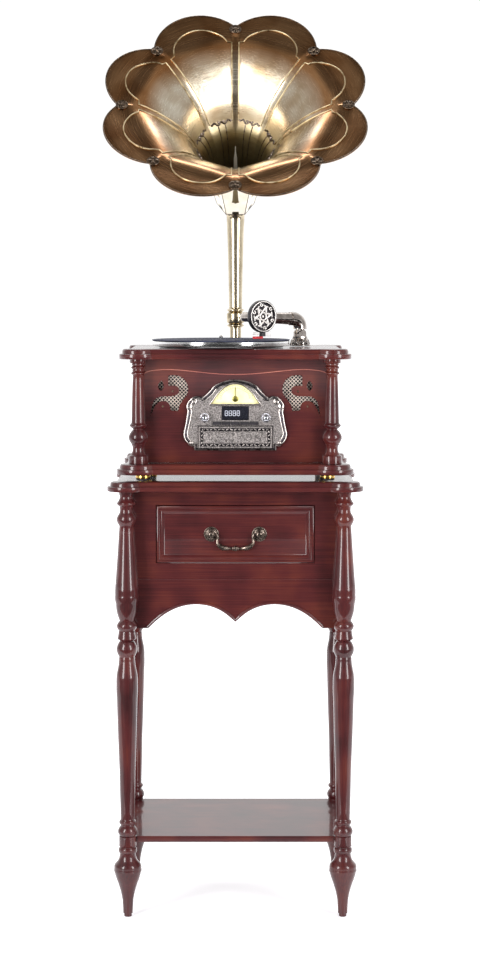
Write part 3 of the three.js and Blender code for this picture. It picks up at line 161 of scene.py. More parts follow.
class Surface:
    """A material in the making: one principled shader and the pattern that feeds it."""

    def __init__(self, name: str, **values: float) -> None:
        """Starts a material.

        Args:
            name: the material's name.
            values: shader sockets by name, with _ for a space.
        """
        self.material = bpy.data.materials.new(name)
        self.material.use_nodes = True
        self.tree = self.material.node_tree
        self.tree.nodes.clear()
        self.shader = self.node("ShaderNodeBsdfPrincipled")
        self.node("ShaderNodeOutputMaterial", {"Surface": self.shader.outputs[0]})
        for key, value in values.items():
            self.shader.inputs[key.replace("_", " ")].default_value = value
        self.coords = self.node("ShaderNodeTexCoord").outputs["Object"]

    def node(self, kind: str, inputs: dict | None = None, **settings: str) -> Node:
        """Adds a node to this material's tree."""
        return add_node(self.tree, kind, inputs, **settings)

    def feed(self, socket: str, value: Socket) -> None:
        """Links a value to one of the shader's sockets."""
        self.tree.links.new(value, self.shader.inputs[socket])

    def marks(self, size_mm: Point | float, detail: float = 4.0, vector: Socket | None = None) -> Socket:
        """Makes noise whose marks have a real size.

        Args:
            size_mm: the length of a mark along x, y and z, or one length for all three.
            detail: how many finer layers the noise has.
            vector: the coordinates, where they aren't the object's own.

        Returns:
            The noise value.
        """
        lengths = (size_mm,) * 3 if isinstance(size_mm, (int, float)) else size_mm
        sockets = {"Vector": vector or self.coords, "Scale": [1 / (length * MM) for length in lengths]}
        scaled = self.node("ShaderNodeMapping", sockets).outputs[0]
        made = self.node("ShaderNodeTexNoise", {"Vector": scaled, "Scale": 1.0, "Detail": detail})
        return made.outputs["Fac"]

    def tint(self, value: Socket, stops: list[tuple[float, str]]) -> Socket:
        """Turns a value into a colour.

        Args:
            value: what chooses the colour.
            stops: places from 0 to 1, each with its hex colour.

        Returns:
            The colour.
        """
        made = self.node("ShaderNodeValToRGB", {"Fac": value})
        elements = made.color_ramp.elements
        while len(elements) < len(stops):
            elements.new(0.5)
        for element, (place, colour) in zip(elements, stops):
            element.position = place
            element.color = linear(colour)
        return made.outputs["Color"]

    def paint(self, value: Socket, *stops: tuple[float, str]) -> None:
        """Colours the surface by a value."""
        self.feed("Base Color", self.tint(value, list(stops)))

    def roughen(self, value: Socket, roughness: float, least: float, most: float) -> Socket:
        """Lets the roughness wander with a value.

        Args:
            value: what it follows, from 0.3 to 0.7, where noise spends its time.
            roughness: the middle of it.
            least: its smallest share.
            most: its largest share.

        Returns:
            The roughness, which already feeds the shader.
        """
        sockets = {"Value": value, "From Min": 0.3, "From Max": 0.7,
                   "To Min": roughness * least, "To Max": roughness * most}
        made = self.node("ShaderNodeMapRange", sockets).outputs["Result"]
        self.feed("Roughness", made)
        return made

    def emboss(self, height: Socket, depth_mm: float, strength: float = 1.0) -> None:
        """Lays a height over the surface, and over what already lies there.

        Args:
            height: from 0 to 1.
            depth_mm: what a height of 1 measures.
            strength: how much of it shows.
        """
        sockets = {"Height": height, "Distance": depth_mm * MM, "Strength": strength}
        for earlier in self.shader.inputs["Normal"].links:
            sockets["Normal"] = earlier.from_socket
        self.feed("Normal", self.node("ShaderNodeBump", sockets).outputs[0])


class Finish(Protocol):
    """What each finish below has: a name, and a way to make its material."""

    name: str

    def build(self) -> Material:
        """Makes the material."""


@dataclass(frozen=True)
class Lacquer:
    """Red-stained mahogany under a gloss lacquer: the eye sees a clear coat over faint grain."""

    name: str
    grain: Axis
    dark: str = "#2c0e10"
    middle: str = "#421617"
    glow: str = "#58251b"
    fibre_mm: float = 2.2
    length_mm: float = 120.0

    def build(self) -> Material:
        """Makes the material."""
        made = Surface(self.name, Roughness=0.4, Specular_IOR_Level=0.15, Coat_Weight=0.75,
                       Coat_Roughness=0.06)
        size = [self.length_mm if along else self.fibre_mm for along in self.grain.value]
        sockets = {"From Min": 0.3, "From Max": 0.7}
        grain = made.node("ShaderNodeMapRange", {"Value": made.marks(size, 6.0), **sockets, "To Max": 0.35})
        clouds = made.node("ShaderNodeMapRange", {"Value": made.marks(90, 2.0), **sockets, "To Max": 0.65})
        both = made.node("ShaderNodeMath", {0: grain.outputs[0], 1: clouds.outputs[0]}, operation="ADD")
        made.paint(both.outputs[0], (0.1, self.dark), (0.5, self.middle), (0.95, self.glow))
        # Lacquer sinks a little along open pores, too fine to see, so they are drawn wider.
        made.emboss(made.marks([s / 3 for s in size], 3.0), 0.03, 0.25)
        # Sprayed lacquer dries in soft ripples about 40 mm wide.
        made.emboss(made.marks(40, 1.0), 0.2, 0.2)
        return made.material


@dataclass(frozen=True)
class PlainTimber:
    """Planed wood without a finish: dry and pale, with long soft grain along x."""

    name: str = "planed_beech"
    light: str = "#b99364"
    dark: str = "#8a6238"

    def build(self) -> Material:
        """Makes the material."""
        made = Surface(self.name, Roughness=0.75, IOR=1.5)
        grain = made.marks((70, 2.5, 2.5), 5.0)
        made.paint(grain, (0.3, self.dark), (0.65, self.light))
        made.emboss(grain, 0.1, 0.5)
        return made.material


@dataclass(frozen=True)
class BrushedMetal:
    """Spun and brushed plate: fine parallel streaks stretch the highlights across them."""

    name: str
    light: str
    dark: str
    roughness: float
    streak_mm: Point
    depth_mm: float = 0.02
    mottle_mm: float = 25.0
    metallic: float = 1.0

    def build(self) -> Material:
        """Makes the material."""
        made = Surface(self.name, Metallic=self.metallic)
        streaks = made.marks(self.streak_mm, 4.0)
        mottle = made.marks(self.mottle_mm, 3.0)
        both = made.node("ShaderNodeMath", {0: streaks, 1: mottle}, operation="ADD")
        half = made.node("ShaderNodeMath", {0: both.outputs[0], 1: 0.5}, operation="MULTIPLY")
        made.paint(half.outputs[0], (0.35, self.dark), (0.65, self.light))
        made.roughen(streaks, self.roughness, 0.7, 1.3)
        made.emboss(streaks, self.depth_mm, 0.5)
        return made.material


@dataclass(frozen=True)
class HornBrass:
    """Antiqued brass, brushed round the bell: brown at the rim, with painted shade darkening the throat and a
    pale painted reflection in the bowl.
    """

    name: str
    centre: Vector
    axis: Vector
    # The deep and throat colours are painted shade; the bowl colour is a painted reflection; the flange
    # colour is the brass's own brown.
    deep: str = "#6e6346"
    throat: str = "#a39670"
    bowl_painted_reflection: str = "#eae3d2"
    flange: str = "#b58960"
    roughness: float = 0.23

    def build(self) -> Material:
        """Makes the material."""
        made = Surface(self.name, Metallic=1.0)
        shift = made.node("ShaderNodeVectorMath", {0: made.coords, 1: self.centre * MM}, operation="SUBTRACT")
        dot = made.node("ShaderNodeVectorMath", {0: shift.outputs[0], 1: self.axis}, operation="DOT_PRODUCT")
        along = dot.outputs["Value"]
        depth = made.node("ShaderNodeVectorMath", {0: self.axis}, operation="SCALE")
        made.tree.links.new(along, depth.inputs["Scale"])
        off = made.node("ShaderNodeVectorMath", {0: shift.outputs[0], 1: depth.outputs[0]},
                        operation="SUBTRACT")
        across = off.outputs[0]
        radius = made.node("ShaderNodeVectorMath", {0: across}, operation="LENGTH").outputs["Value"]
        # Brushing runs round the axis, so the streaks depend on the radius far more than the angle.
        rings = made.node("ShaderNodeCombineXYZ", {"X": radius, "Y": along})
        slow = made.node("ShaderNodeVectorMath", {0: across, 1: (0.02, 0.02, 0.02)}, operation="MULTIPLY")
        both = made.node("ShaderNodeVectorMath", {0: rings.outputs[0], 1: slow.outputs[0]}, operation="ADD")
        streaks = made.marks(1.1, 5.0, both.outputs[0])
        place = made.node("ShaderNodeMapRange", {"Value": radius, "From Min": 0.03, "From Max": 0.23})
        # By radius: painted shade in the throat, a pale painted reflection in the bowl, the brown antique
        # tint on the flange.
        colour = made.tint(place.outputs["Result"], [
            (0.0, self.deep), (0.15, self.throat), (0.32, self.bowl_painted_reflection), (0.55, self.bowl_painted_reflection),
            (0.72, self.flange), (1.0, self.flange)])
        clouds = made.marks(70, 2.0)
        for tint in (made.tint(streaks, [(0.3, "#e6e1da"), (0.7, "#ffffff")]),
                     made.tint(clouds, [(0.3, "#c9b49c"), (0.65, "#ffffff")])):
            sockets = {0: 1.0, 6: colour, 7: tint}
            colour = made.node("ShaderNodeMix", sockets, data_type="RGBA", blend_type="MULTIPLY").outputs[2]
        made.feed("Base Color", colour)
        # The throat was never buffed, so what it mirrors fades out softly.
        reach = {"Value": radius, "From Min": 0.035, "From Max": 0.1, "To Min": 0.3, "To Max": 0.0}
        dull = made.node("ShaderNodeMapRange", reach)
        buffed = made.roughen(streaks, self.roughness, 0.8, 1.25)
        rough = made.node("ShaderNodeMath", {0: buffed, 1: dull.outputs["Result"]}, operation="ADD")
        made.feed("Roughness", rough.outputs[0])
        made.emboss(streaks, 0.003, 0.5)
        return made.material


@dataclass(frozen=True)
class CastMetal:
    """Plated casting with a hammered ground: bright high spots over dark hollows."""

    name: str
    light: str
    dark: str
    roughness: float
    grain_mm: float
    depth_mm: float

    def build(self) -> Material:
        """Makes the material."""
        made = Surface(self.name, Metallic=0.95)
        sockets = {"Vector": made.coords, "Scale": 1 / (self.grain_mm * MM)}
        cells = made.node("ShaderNodeTexVoronoi", sockets, feature="SMOOTH_F1")
        hills = made.marks(self.grain_mm * 1.7, 3.0)
        both = made.node("ShaderNodeMath", {0: cells.outputs["Distance"], 1: hills}, operation="MULTIPLY")
        made.paint(both.outputs[0], (0.08, self.dark), (0.32, self.light))
        made.roughen(hills, self.roughness, 0.8, 1.4)
        made.emboss(both.outputs[0], self.depth_mm, 0.9)
        return made.material


@dataclass(frozen=True)
class PlatedMetal:
    """Polished plate: nearly clear reflections with a breath of haze and tiny dents."""

    name: str
    light: str
    dark: str
    roughness: float = 0.12

    def build(self) -> Material:
        """Makes the material."""
        made = Surface(self.name, Metallic=1.0)
        haze = made.marks(12, 4.0)
        made.paint(haze, (0.35, self.dark), (0.65, self.light))
        made.roughen(haze, self.roughness, 0.6, 1.5)
        made.emboss(haze, 0.05, 0.3)
        return made.material


@dataclass(frozen=True)
class Moulded:
    """Plastic, card, felt, pulp or paint: one colour broken by a fine even texture."""

    name: str
    light: str
    dark: str
    roughness: float
    grain_mm: float = 1.0
    depth_mm: float = 0.03
    coat: float = 0.0

    def build(self) -> Material:
        """Makes the material."""
        made = Surface(self.name, IOR=1.5, Coat_Weight=self.coat, Coat_Roughness=0.05)
        fine = made.marks(self.grain_mm, 3.0)
        made.paint(made.marks(self.grain_mm * 20, 2.0), (0.3, self.dark), (0.7, self.light))
        made.roughen(fine, self.roughness, 0.85, 1.15)
        made.emboss(fine, self.depth_mm, 0.6)
        return made.material


class Workshop:
    """Keeps each finish's material, so that pieces of one finish share it."""

    def __init__(self) -> None:
        """Starts with no materials."""
        self.made: dict[str, Material] = {}

    def get(self, finish: Finish) -> Material:
        """Makes a finish's material once.

        Args:
            finish: one of the finishes above.

        Returns:
            Its material.
        """
        if finish.name not in self.made:
            self.made[finish.name] = finish.build()
        return self.made[finish.name]


WORKSHOP = Workshop()
# Stained and sprayed mahogany: deep red, with a gloss that mirrors the room.
WOOD_Z = Lacquer("lacquered_mahogany_upright", Axis.Z)
WOOD_X = Lacquer("lacquered_mahogany_across", Axis.X)
WOOD_Y = Lacquer("lacquered_mahogany_front_to_back", Axis.Y)
# The routed line, rubbed through its stain: a paler red thread.
ROUTED = Lacquer("lacquered_routed_edge", Axis.X, "#8a4a44", "#a05c50", "#b07060")
# Planed drawer sides: bare, dry and light.
TIMBER = PlainTimber()
# Pale brass, spun and polished: long soft highlights down the pipe.
CHAMPAGNE = BrushedMetal("polished_pale_brass", "#cbbfa6", "#a5977c", 0.2, (1.0, 1.0, 30.0), 0.004)
# The same brass on the collar, near white from every side: a painted reflection of its polish.
COLLAR_PAINTED_REFLECTION = BrushedMetal("collar_brass_painted_reflection", "#f6f1e4", "#e2d9c4", 0.5, (1.0, 1.0, 30.0), 0.01, 25.0, 0.35)
# High lines of the bell in paler brass: a painted highlight.
LINE_PAINTED_HIGHLIGHT = PlatedMetal("brass_lines_painted_highlight", "#d6c8a6", "#a48c66", 0.42)
# Brass deep in the throat, nearly black: painted shade.
THROAT_PAINTED_SHADE = PlatedMetal("throat_brass_painted_shade", "#4a4330", "#262117", 0.5)
# Cast brass, blackened in its hollows: the rim, the bosses and the pins.
DARK_BRONZE = CastMetal("dark_antiqued_brass", "#7d6a58", "#1c1613", 0.32, 2.0, 0.3)
# Cast and tumbled bronze of the handle: brown, with worn lights.
BRONZE = BrushedMetal("antiqued_bronze", "#8e8076", "#4b4039", 0.3, (2.0, 2.0, 2.0), 0.03, 8.0)
# Warm nickel plate of the arm: clear, slightly yellow reflections.
NICKEL = PlatedMetal("warm_nickel_plate", "#b3aaa4", "#8d857f", 0.14)
# Nickel over a cast leaf pattern, dark in its hollows.
DARK_NICKEL = CastMetal("antiqued_nickel_casting", "#c4bdb8", "#332f2d", 0.24, 2.6, 0.2)
# High leaves of the sound box: bright nickel with a soft sheen.
RELIEF = BrushedMetal("bright_nickel_relief", "#f2eeea", "#d3cdc8", 0.4, (1.5, 1.5, 1.5), 0.004, 12.0, 0.45)
# Silvered casting of the radio front: a hammered grey ground.
PEWTER = CastMetal("hammered_antique_silver", "#d8cfcc", "#4c4745", 0.4, 1.4, 0.25)
# Its high rails and leaves, rubbed smooth and light.
BRIGHT_PEWTER = PlatedMetal("rubbed_antique_silver", "#c4bcb7", "#8b8480", 0.3)
# Its grooves, where the blackening stayed.
PATINA = CastMetal("blackened_silver", "#4a464a", "#141214", 0.35, 2.0, 0.1)
# Chrome of the knobs: cold, sharp reflections.
CHROME = PlatedMetal("bright_chrome", "#c9c9ce", "#a9a9b0", 0.08)
# Turned alloy: fine rings that pull the platter's light to a band.
ALLOY = BrushedMetal("turned_alloy", "#dcdcda", "#b8b8b8", 0.16, (20.0, 20.0, 0.6), 0.01)
# Zinc-plated sheet of the drive and the motor: grey and dull.
STEEL = BrushedMetal("zinc_plated_steel", "#9b9b9f", "#77777c", 0.4, (3.0, 3.0, 3.0))
# Lacquered brass of the feet's rings: warm yellow.
GOLD = PlatedMetal("gold_lacquered_ring", "#d8b56a", "#b58c3f", 0.18)
# Stamped brass under thin paint: olive with a sheen.
OLIVE = PlatedMetal("olive_brass", "#a49c56", "#77713a", 0.3)
# Woven wire under pinkish white lacquer.
WIRE = Moulded("lacquered_wire_cloth", "#f2e6da", "#d8c8bc", 0.45, 1.5, 0.02)
# Printed card and its ink: flat, without shine.
DIAL = Moulded("cream_printed_card", "#f0eab8", "#e2d998", 0.5, 1.0, 0.01)
INK = Moulded("dark_printing_ink", "#4a4526", "#38341c", 0.6, 1.0, 0.01)
# Smoked acrylic over the display, and the pale segments that show through it.
SCREEN = Moulded("black_display_window", "#15161f", "#101118", 0.12, 2.0, 0.005, 0.6)
DIGITS = Moulded("pale_display_segments", "#c9ccd6", "#aeb2c0", 0.5, 1.0, 0.01)
# Injection-moulded plastics: dark with a soft shine, clear red, and milky.
DARK_PLASTIC = Moulded("dark_moulded_plastic", "#2e2a2e", "#1f1c20", 0.42)
RED_PLASTIC = Moulded("red_stylus_plastic", "#d0202a", "#b0151f", 0.3, 1.0, 0.01, 0.3)
CLEAR_PLASTIC = Moulded("milky_plastic", "#e9e7e4", "#cfccc9", 0.25, 1.0, 0.01, 0.3)
# Pressed felt of the mat and pressed pulp of the speakers: matt and soft.
MAT = Moulded("blue_black_felt_mat", "#222845", "#161a2e", 0.75, 0.8, 0.1)
CONE = Moulded("pressed_paper_cone", "#2a282d", "#19181b", 0.85, 1.2, 0.1)
# Glass-fibre board under green solder mask: a thin wet shine.
BOARD = Moulded("green_circuit_board", "#1f5a3a", "#174a2f", 0.45, 3.0, 0.05, 0.3)


# --- shaping
def spin(bm: Mesh, verts: list[Vert], centre: Vector, axis: Vector, steps: int) -> None:
    """Spins a row of points, joined by edges, all the way round an axis.

    Args:
        bm: the mesh.
        verts: the row.
        centre: a point on the axis.
        axis: its direction.
        steps: faces round it.
    """
    edges = [bm.edges.new(pair) for pair in zip(verts, verts[1:])]
    bmesh.ops.spin(bm, geom=verts + edges, cent=centre, axis=axis, dvec=(0, 0, 0), angle=tau,
                   steps=steps, use_merge=True, use_duplicate=False)


def turn(bm: Mesh, profile: Profile, centre: Vector, axis: Vector, steps: int = 48) -> None:
    """Spins a profile into a turned solid.

    Args:
        bm: where the solid goes.
        profile: points of (radius, distance along the axis, bulge), with the bulge left
            out on straight stretches; it swells the stretch before the point.
        centre: a point on the axis.
        axis: the way that distances grow.
        steps: faces round the axis.
    """
    side = axis.orthogonal().normalized()
    if abs(axis.z) > 0.99:
        side = RIGHT
    verts = [bm.verts.new(centre + side * r + axis * h) for r, h in swelled(profile)]
    spin(bm, verts, centre, axis, steps)


def swelled(profile: Profile, steps: int = 7) -> Outline:
    """Rounds the stretches of a profile that have a bulge.

    Args:
        profile: points of (radius, distance) or (radius, distance, bulge).
        steps: how many points a rounded stretch gets.

    Returns:
        The profile as plain points.
    """
    made = [tuple(profile[0][:2])]
    for before, after in zip(profile, profile[1:]):
        bulge = after[2] if len(after) > 2 else 0.0
        if bulge:
            run = Vector((after[0] - before[0], after[1] - before[1]))
            out = Vector((run.y, -run.x)).normalized() * bulge
            for i in range(1, steps):
                share = i / steps
                place = Vector(before[:2]) + run * share + out * sin(pi * share)
                made.append((max(place.x, 0.0), place.y))
        made.append(tuple(after[:2]))
    return made


def lifted(profile: Profile, rise: float) -> Profile:
    """Moves a profile along its axis."""
    return [(radius, rise + distance, *bulge) for radius, distance, *bulge in profile]


def curve(*corners: tuple[float, float], steps: int = 8) -> Outline:
    """Finds the points of one plane Bezier stretch.

    Args:
        corners: the start, two handles and the end.
        steps: how many points it gets.

    Returns:
        The points, without the first.
    """
    found = interpolate_bezier(*[Vector((*c, 0)) for c in corners], steps + 1)
    return [(p.x, p.y) for p in found[1:]]


def path(start: tuple[float, float], *stretches: tuple, steps: int = 8) -> Outline:
    """Finds an outline that runs on in straight and curved stretches.

    Args:
        start: its first point.
        stretches: for each, its end alone where it is straight, or two handles, its end
            and, where it needs its own, how many points it gets.
        steps: how many points a curved stretch gets otherwise.

    Returns:
        The points.
    """
    points = [start]
    for stretch in stretches:
        if len(stretch) == 2:
            points.append(stretch)
        else:
            points += curve(points[-1], *stretch[:3], steps=stretch[3] if len(stretch) > 3 else steps)
    return points


def rectangle(x0: float, z0: float, x1: float, z1: float) -> Outline:
    """A rectangle's corners, anticlockwise from its lower left one."""
    return [(x0, z0), (x1, z0), (x1, z1), (x0, z1)]


def mirrored(points: Outline) -> Outline:
    """Mirrors an outline left to right and keeps its sense of going round."""
    return [(-x, z) for x, z in reversed(points)]


def both_halves(right: Outline) -> Outline:
    """Completes a line that ends on the middle with its mirror image."""
    return right + mirrored(right[:-1])


def around(count: int, shift: float = 0.0) -> list[float]:
    """Angles evenly spaced round a circle, shifted by a share of a space."""
    return [tau * (i + shift) / count for i in range(count)]


def circle(centre: Vector, side: Vector, other: Vector, radius: float, count: int,
           shift: float = 0.0) -> list[Vector]:
    """Finds points evenly spaced round a circle.

    Args:
        centre: its middle.
        side: the way to its first point.
        other: the way to the point a quarter on.
        radius: its radius.
        count: how many points.
        shift: how far the first point stands on, as a share of a space.

    Returns:
        The points.
    """
    return [centre + (side * cos(a) + other * sin(a)) * radius for a in around(count, shift)]


def outline(bm: Mesh, points: Outline, y: float) -> Face:
    """Lays a front elevation of x and z points as one face at a depth.

    Args:
        bm: where it goes.
        points: the outline, anticlockwise as seen from the front.
        y: its depth.

    Returns:
        The face, which looks to the front.
    """
    return bm.faces.new([bm.verts.new((x, y, z)) for x, z in points])


def plan(bm: Mesh, points: Outline, z: float) -> Face:
    """Lays a plan of x and y points, anticlockwise from above, as one face at a height."""
    return bm.faces.new([bm.verts.new((x, y, z)) for x, y in points])


def mould(bm: Mesh, face: Face, steps: Profile) -> None:
    """Works a face in steps, as a router works an edge.

    Args:
        bm: the mesh.
        face: the face, which ends as the middle.
        steps: for each, how far it goes inwards, and how far out of the face.
    """
    for inset, rise in steps:
        bmesh.ops.inset_region(bm, faces=[face], thickness=max(inset, 0.001), depth=rise,
                               use_even_offset=True)


def raise_face(bm: Mesh, face: Face, move: Vector) -> Face:
    """Draws a face out into a solid.

    Args:
        bm: the mesh.
        face: the face that stays as the far side.
        move: which way and how far.

    Returns:
        The near face.
    """
    made = bmesh.ops.extrude_face_region(bm, geom=[face], use_keep_orig=True)["geom"]
    near = next(g for g in made if isinstance(g, Face))
    bmesh.ops.translate(bm, verts=near.verts, vec=move)
    return near


def block(bm: Mesh, low: Point, high: Point, place: Matrix | None = None) -> list[Vert]:
    """Adds a box.

    Args:
        bm: where it goes.
        low: its lower corner.
        high: its upper corner.
        place: where the frame of these corners stands, where it isn't the cabinet's.

    Returns:
        Its corners.
    """
    middle = (Vector(low) + Vector(high)) / 2
    size = Vector(high) - Vector(low)
    matrix = (place or Matrix.Identity(4)) @ Matrix.Translation(middle) @ Matrix.Diagonal((*size, 1))
    return bmesh.ops.create_cube(bm, size=1.0, matrix=matrix)["verts"]


def ball(bm: Mesh, centre: Vector, radii: Point, turn_by: Matrix | None = None, detail: int = 12) -> None:
    """Adds an egg shape.

    Args:
        bm: where it goes.
        centre: its middle.
        radii: its three radii.
        turn_by: how it is turned.
        detail: faces round it.
    """
    matrix = Matrix.Translation(centre) @ (turn_by or Matrix.Identity(4)) @ Matrix.Diagonal((*radii, 1))
    bmesh.ops.create_uvsphere(bm, u_segments=detail, v_segments=detail // 2 + 1, radius=1.0, matrix=matrix)


def tube(bm: Mesh, route: list[Vector], radii: float | list[float], rings: int = 2, closed: bool = False,
         capped: bool = True) -> None:
    """Sweeps a round section along a route.

    Args:
        bm: where it goes.
        route: the points of its middle line.
        radii: one radius, or one for each point.
        rings: fineness of the section, 4 faces and 4 more for each.
        closed: whether the end meets the start.
        capped: whether open ends are filled.
    """
    data = bpy.data.curves.new("route", "CURVE")
    data.dimensions = "3D"
    data.bevel_depth = 1.0
    data.bevel_resolution = rings
    data.use_fill_caps = capped and not closed
    spline = data.splines.new("POLY")
    spline.points.add(len(route) - 1)
    spline.use_cyclic_u = closed
    for i, (point, place) in enumerate(zip(spline.points, route)):
        point.co = (*place, 1.0)
        point.radius = radii[i] if isinstance(radii, list) else radii
    holder = bpy.data.objects.new("route", data)
    made = bpy.data.meshes.new_from_object(holder)
    bm.from_mesh(made)
    bpy.data.objects.remove(holder)
    bpy.data.curves.remove(data)
    bpy.data.meshes.remove(made)


def swept(bm: Mesh, stations: Stations, rings: int, capped: bool = True) -> None:
    """Sweeps a round section along stations that each have their own radius."""
    tube(bm, [place for place, _ in stations], [radius for _, radius in stations], rings, capped=capped)


def thicken(bm: Mesh, wall: float) -> None:
    """Gives a sheet that looks outwards a wall inside it."""
    bmesh.ops.recalc_face_normals(bm, faces=bm.faces[:])
    bmesh.ops.solidify(bm, geom=bm.faces[:], thickness=wall)


def filled(bm: Mesh, loops: list[Outline], y_front: float, y_back: float) -> None:
    """Makes a plate with openings from an outline and the outlines of its openings.

    Args:
        bm: where it goes.
        loops: the outline, then each opening, as x and z points.
        y_front: the depth of its front.
        y_back: the depth of its back.
    """
    plate = bmesh.new()
    edges = []
    for loop in loops:
        verts = [plate.verts.new((x, y_front, z)) for x, z in loop]
        edges += [plate.edges.new((a, b)) for a, b in zip(verts, verts[1:] + verts[:1])]
    bmesh.ops.triangle_fill(plate, edges=edges, use_beauty=True, use_dissolve=False, normal=(0, -1, 0))
    made = bmesh.ops.extrude_face_region(plate, geom=plate.faces[:], use_keep_orig=True)["geom"]
    verts = [g for g in made if isinstance(g, Vert)]
    bmesh.ops.translate(plate, verts=verts, vec=(0, y_back - y_front, 0))
    bmesh.ops.recalc_face_normals(plate, faces=plate.faces[:])
    mesh = bpy.data.meshes.new("plate")
    plate.to_mesh(mesh)
    plate.free()
    bm.from_mesh(mesh)
    bpy.data.meshes.remove(mesh)


def put_in_scene(name: str, bm: Mesh) -> bpy.types.Object:
    """Makes a finished mesh an object at the origin.

    Args:
        name: its name.
        bm: its mesh in metres, which is used up.

    Returns:
        The object.
    """
    mesh = bpy.data.meshes.new(name)
    bm.to_mesh(mesh)
    bm.free()
    made = bpy.data.objects.new(name, mesh)
    bpy.context.scene.collection.objects.link(made)
    return made


class Piece:
    """A piece in the making: its mesh in millimetres, and what is said of it when done."""

    def __init__(self, name: str, body: str, slot: str, *replaced: str) -> None:
        """Starts a piece.

        Args:
            name: the piece's name.
            body: the body that it rides on.
            slot: the record's material slot; not used.
            replaced: the frame's nodes that it stands for.
        """
        self.name = name
        self.body = body
        self.slot = slot
        self.replaced = replaced
        self.bm = bmesh.new()

    def done(self, finish: Finish, bevel_mm: float = 0.0, segments: int = 2) -> None:
        """Finishes the piece.

        Args:
            finish: its surface.
            bevel_mm: how far its sharp edges are eased.
            segments: faces across an eased edge.
        """
        bm = self.bm
        bmesh.ops.remove_doubles(bm, verts=bm.verts[:], dist=MERGE_MM)
        bmesh.ops.dissolve_degenerate(bm, edges=bm.edges[:], dist=SLIVER_MM)
        bmesh.ops.recalc_face_normals(bm, faces=bm.faces[:])
        for face in bm.faces:
            face.smooth = True
        for edge in bm.edges:
            edge.smooth = edge.is_manifold and edge.calc_face_angle(0.0) < SMOOTH_ANGLE
        bmesh.ops.scale(bm, vec=(MM, MM, MM), verts=bm.verts[:])
        made = put_in_scene(self.name, bm)
        made.data.materials.append(WORKSHOP.get(finish))
        if bevel_mm:
            eased = made.modifiers.new("eased_edges", "BEVEL")
            eased.width = bevel_mm * MM
            eased.segments = segments
            eased.limit_method = "ANGLE"
            eased.angle_limit = SMOOTH_ANGLE
            eased.harden_normals = True
        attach(made, self.body)
        if self.replaced:
            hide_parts(*self.replaced)
        LOG.info("%s: %d faces, on %s", self.name, len(made.data.polygons), self.body)


def dress(finish: Finish, *nodes: str) -> None:
    """Gives nodes of the frame that stay in view their surface.

    Args:
        finish: the surface.
        nodes: their names.
    """
    for name in nodes:
        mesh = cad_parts[name].data
        mesh.materials.clear()
        mesh.materials.append(WORKSHOP.get(finish))
        LOG.info("%s keeps its shape, in %s", name, finish.name)


def eared_plan(posts: Vector, middle_y: float, ear: float, setback: float) -> Outline:
    """Finds the plan of a board with a round ear about each corner post.

    Args:
        posts: the post axes' distance from the middle, in x and y.
        middle_y: the middle of the board, front to back.
        ear: the ears' radius.
        setback: how far the straight edges stand back from the ears.

    Returns:
        The plan, anticlockwise.
    """
    lead = acos((ear - setback) / ear)
    steps = 18
    points = []
    for corner, (sx, sy) in enumerate(QUARTERS):
        first = corner * pi / 2 - lead
        for i in range(steps + 1):
            angle = first + (pi / 2 + 2 * lead) * i / steps
            x = sx * posts.x + ear * cos(angle)
            points.append((x, middle_y + sy * posts.y + ear * sin(angle)))
    return points


@dataclass
class MouldedBoard:
    """A board with ears at its corners and an edge worked in two tiers."""

    node: str
    posts: Vector
    middle_y: float
    thick: float | None = None
    setback: float = 12.0
    lower_share: float = 0.5

    def build(self) -> None:
        """Builds and dresses the board."""
        box = extent(self.node)
        ear = box.high.x - self.posts.x
        thick = self.thick or box.size.z
        foot = box.high.z - thick
        piece = Piece("turned_" + self.node, "cabinet", "mahogany", self.node)
        face = plan(piece.bm, eared_plan(self.posts, self.middle_y, ear, self.setback), foot + 1.5)
        near = raise_face(piece.bm, face, UP * (thick * self.lower_share - 3.0))
        tier = thick * (1 - self.lower_share)
        mould(piece.bm, near, [(0.25, 0.9), (1.25, 0.6), (3.0, 0.1), (0.9, -0.3), (0.3, 0.5),
                               (-1, tier * 0.4), (0.5, tier * 0.22), (1.3, tier * 0.2), (1.9, tier * 0.08)])
        mould(piece.bm, face, [(0.4, 0.9), (1.1, 0.6)])
        piece.done(WOOD_X)


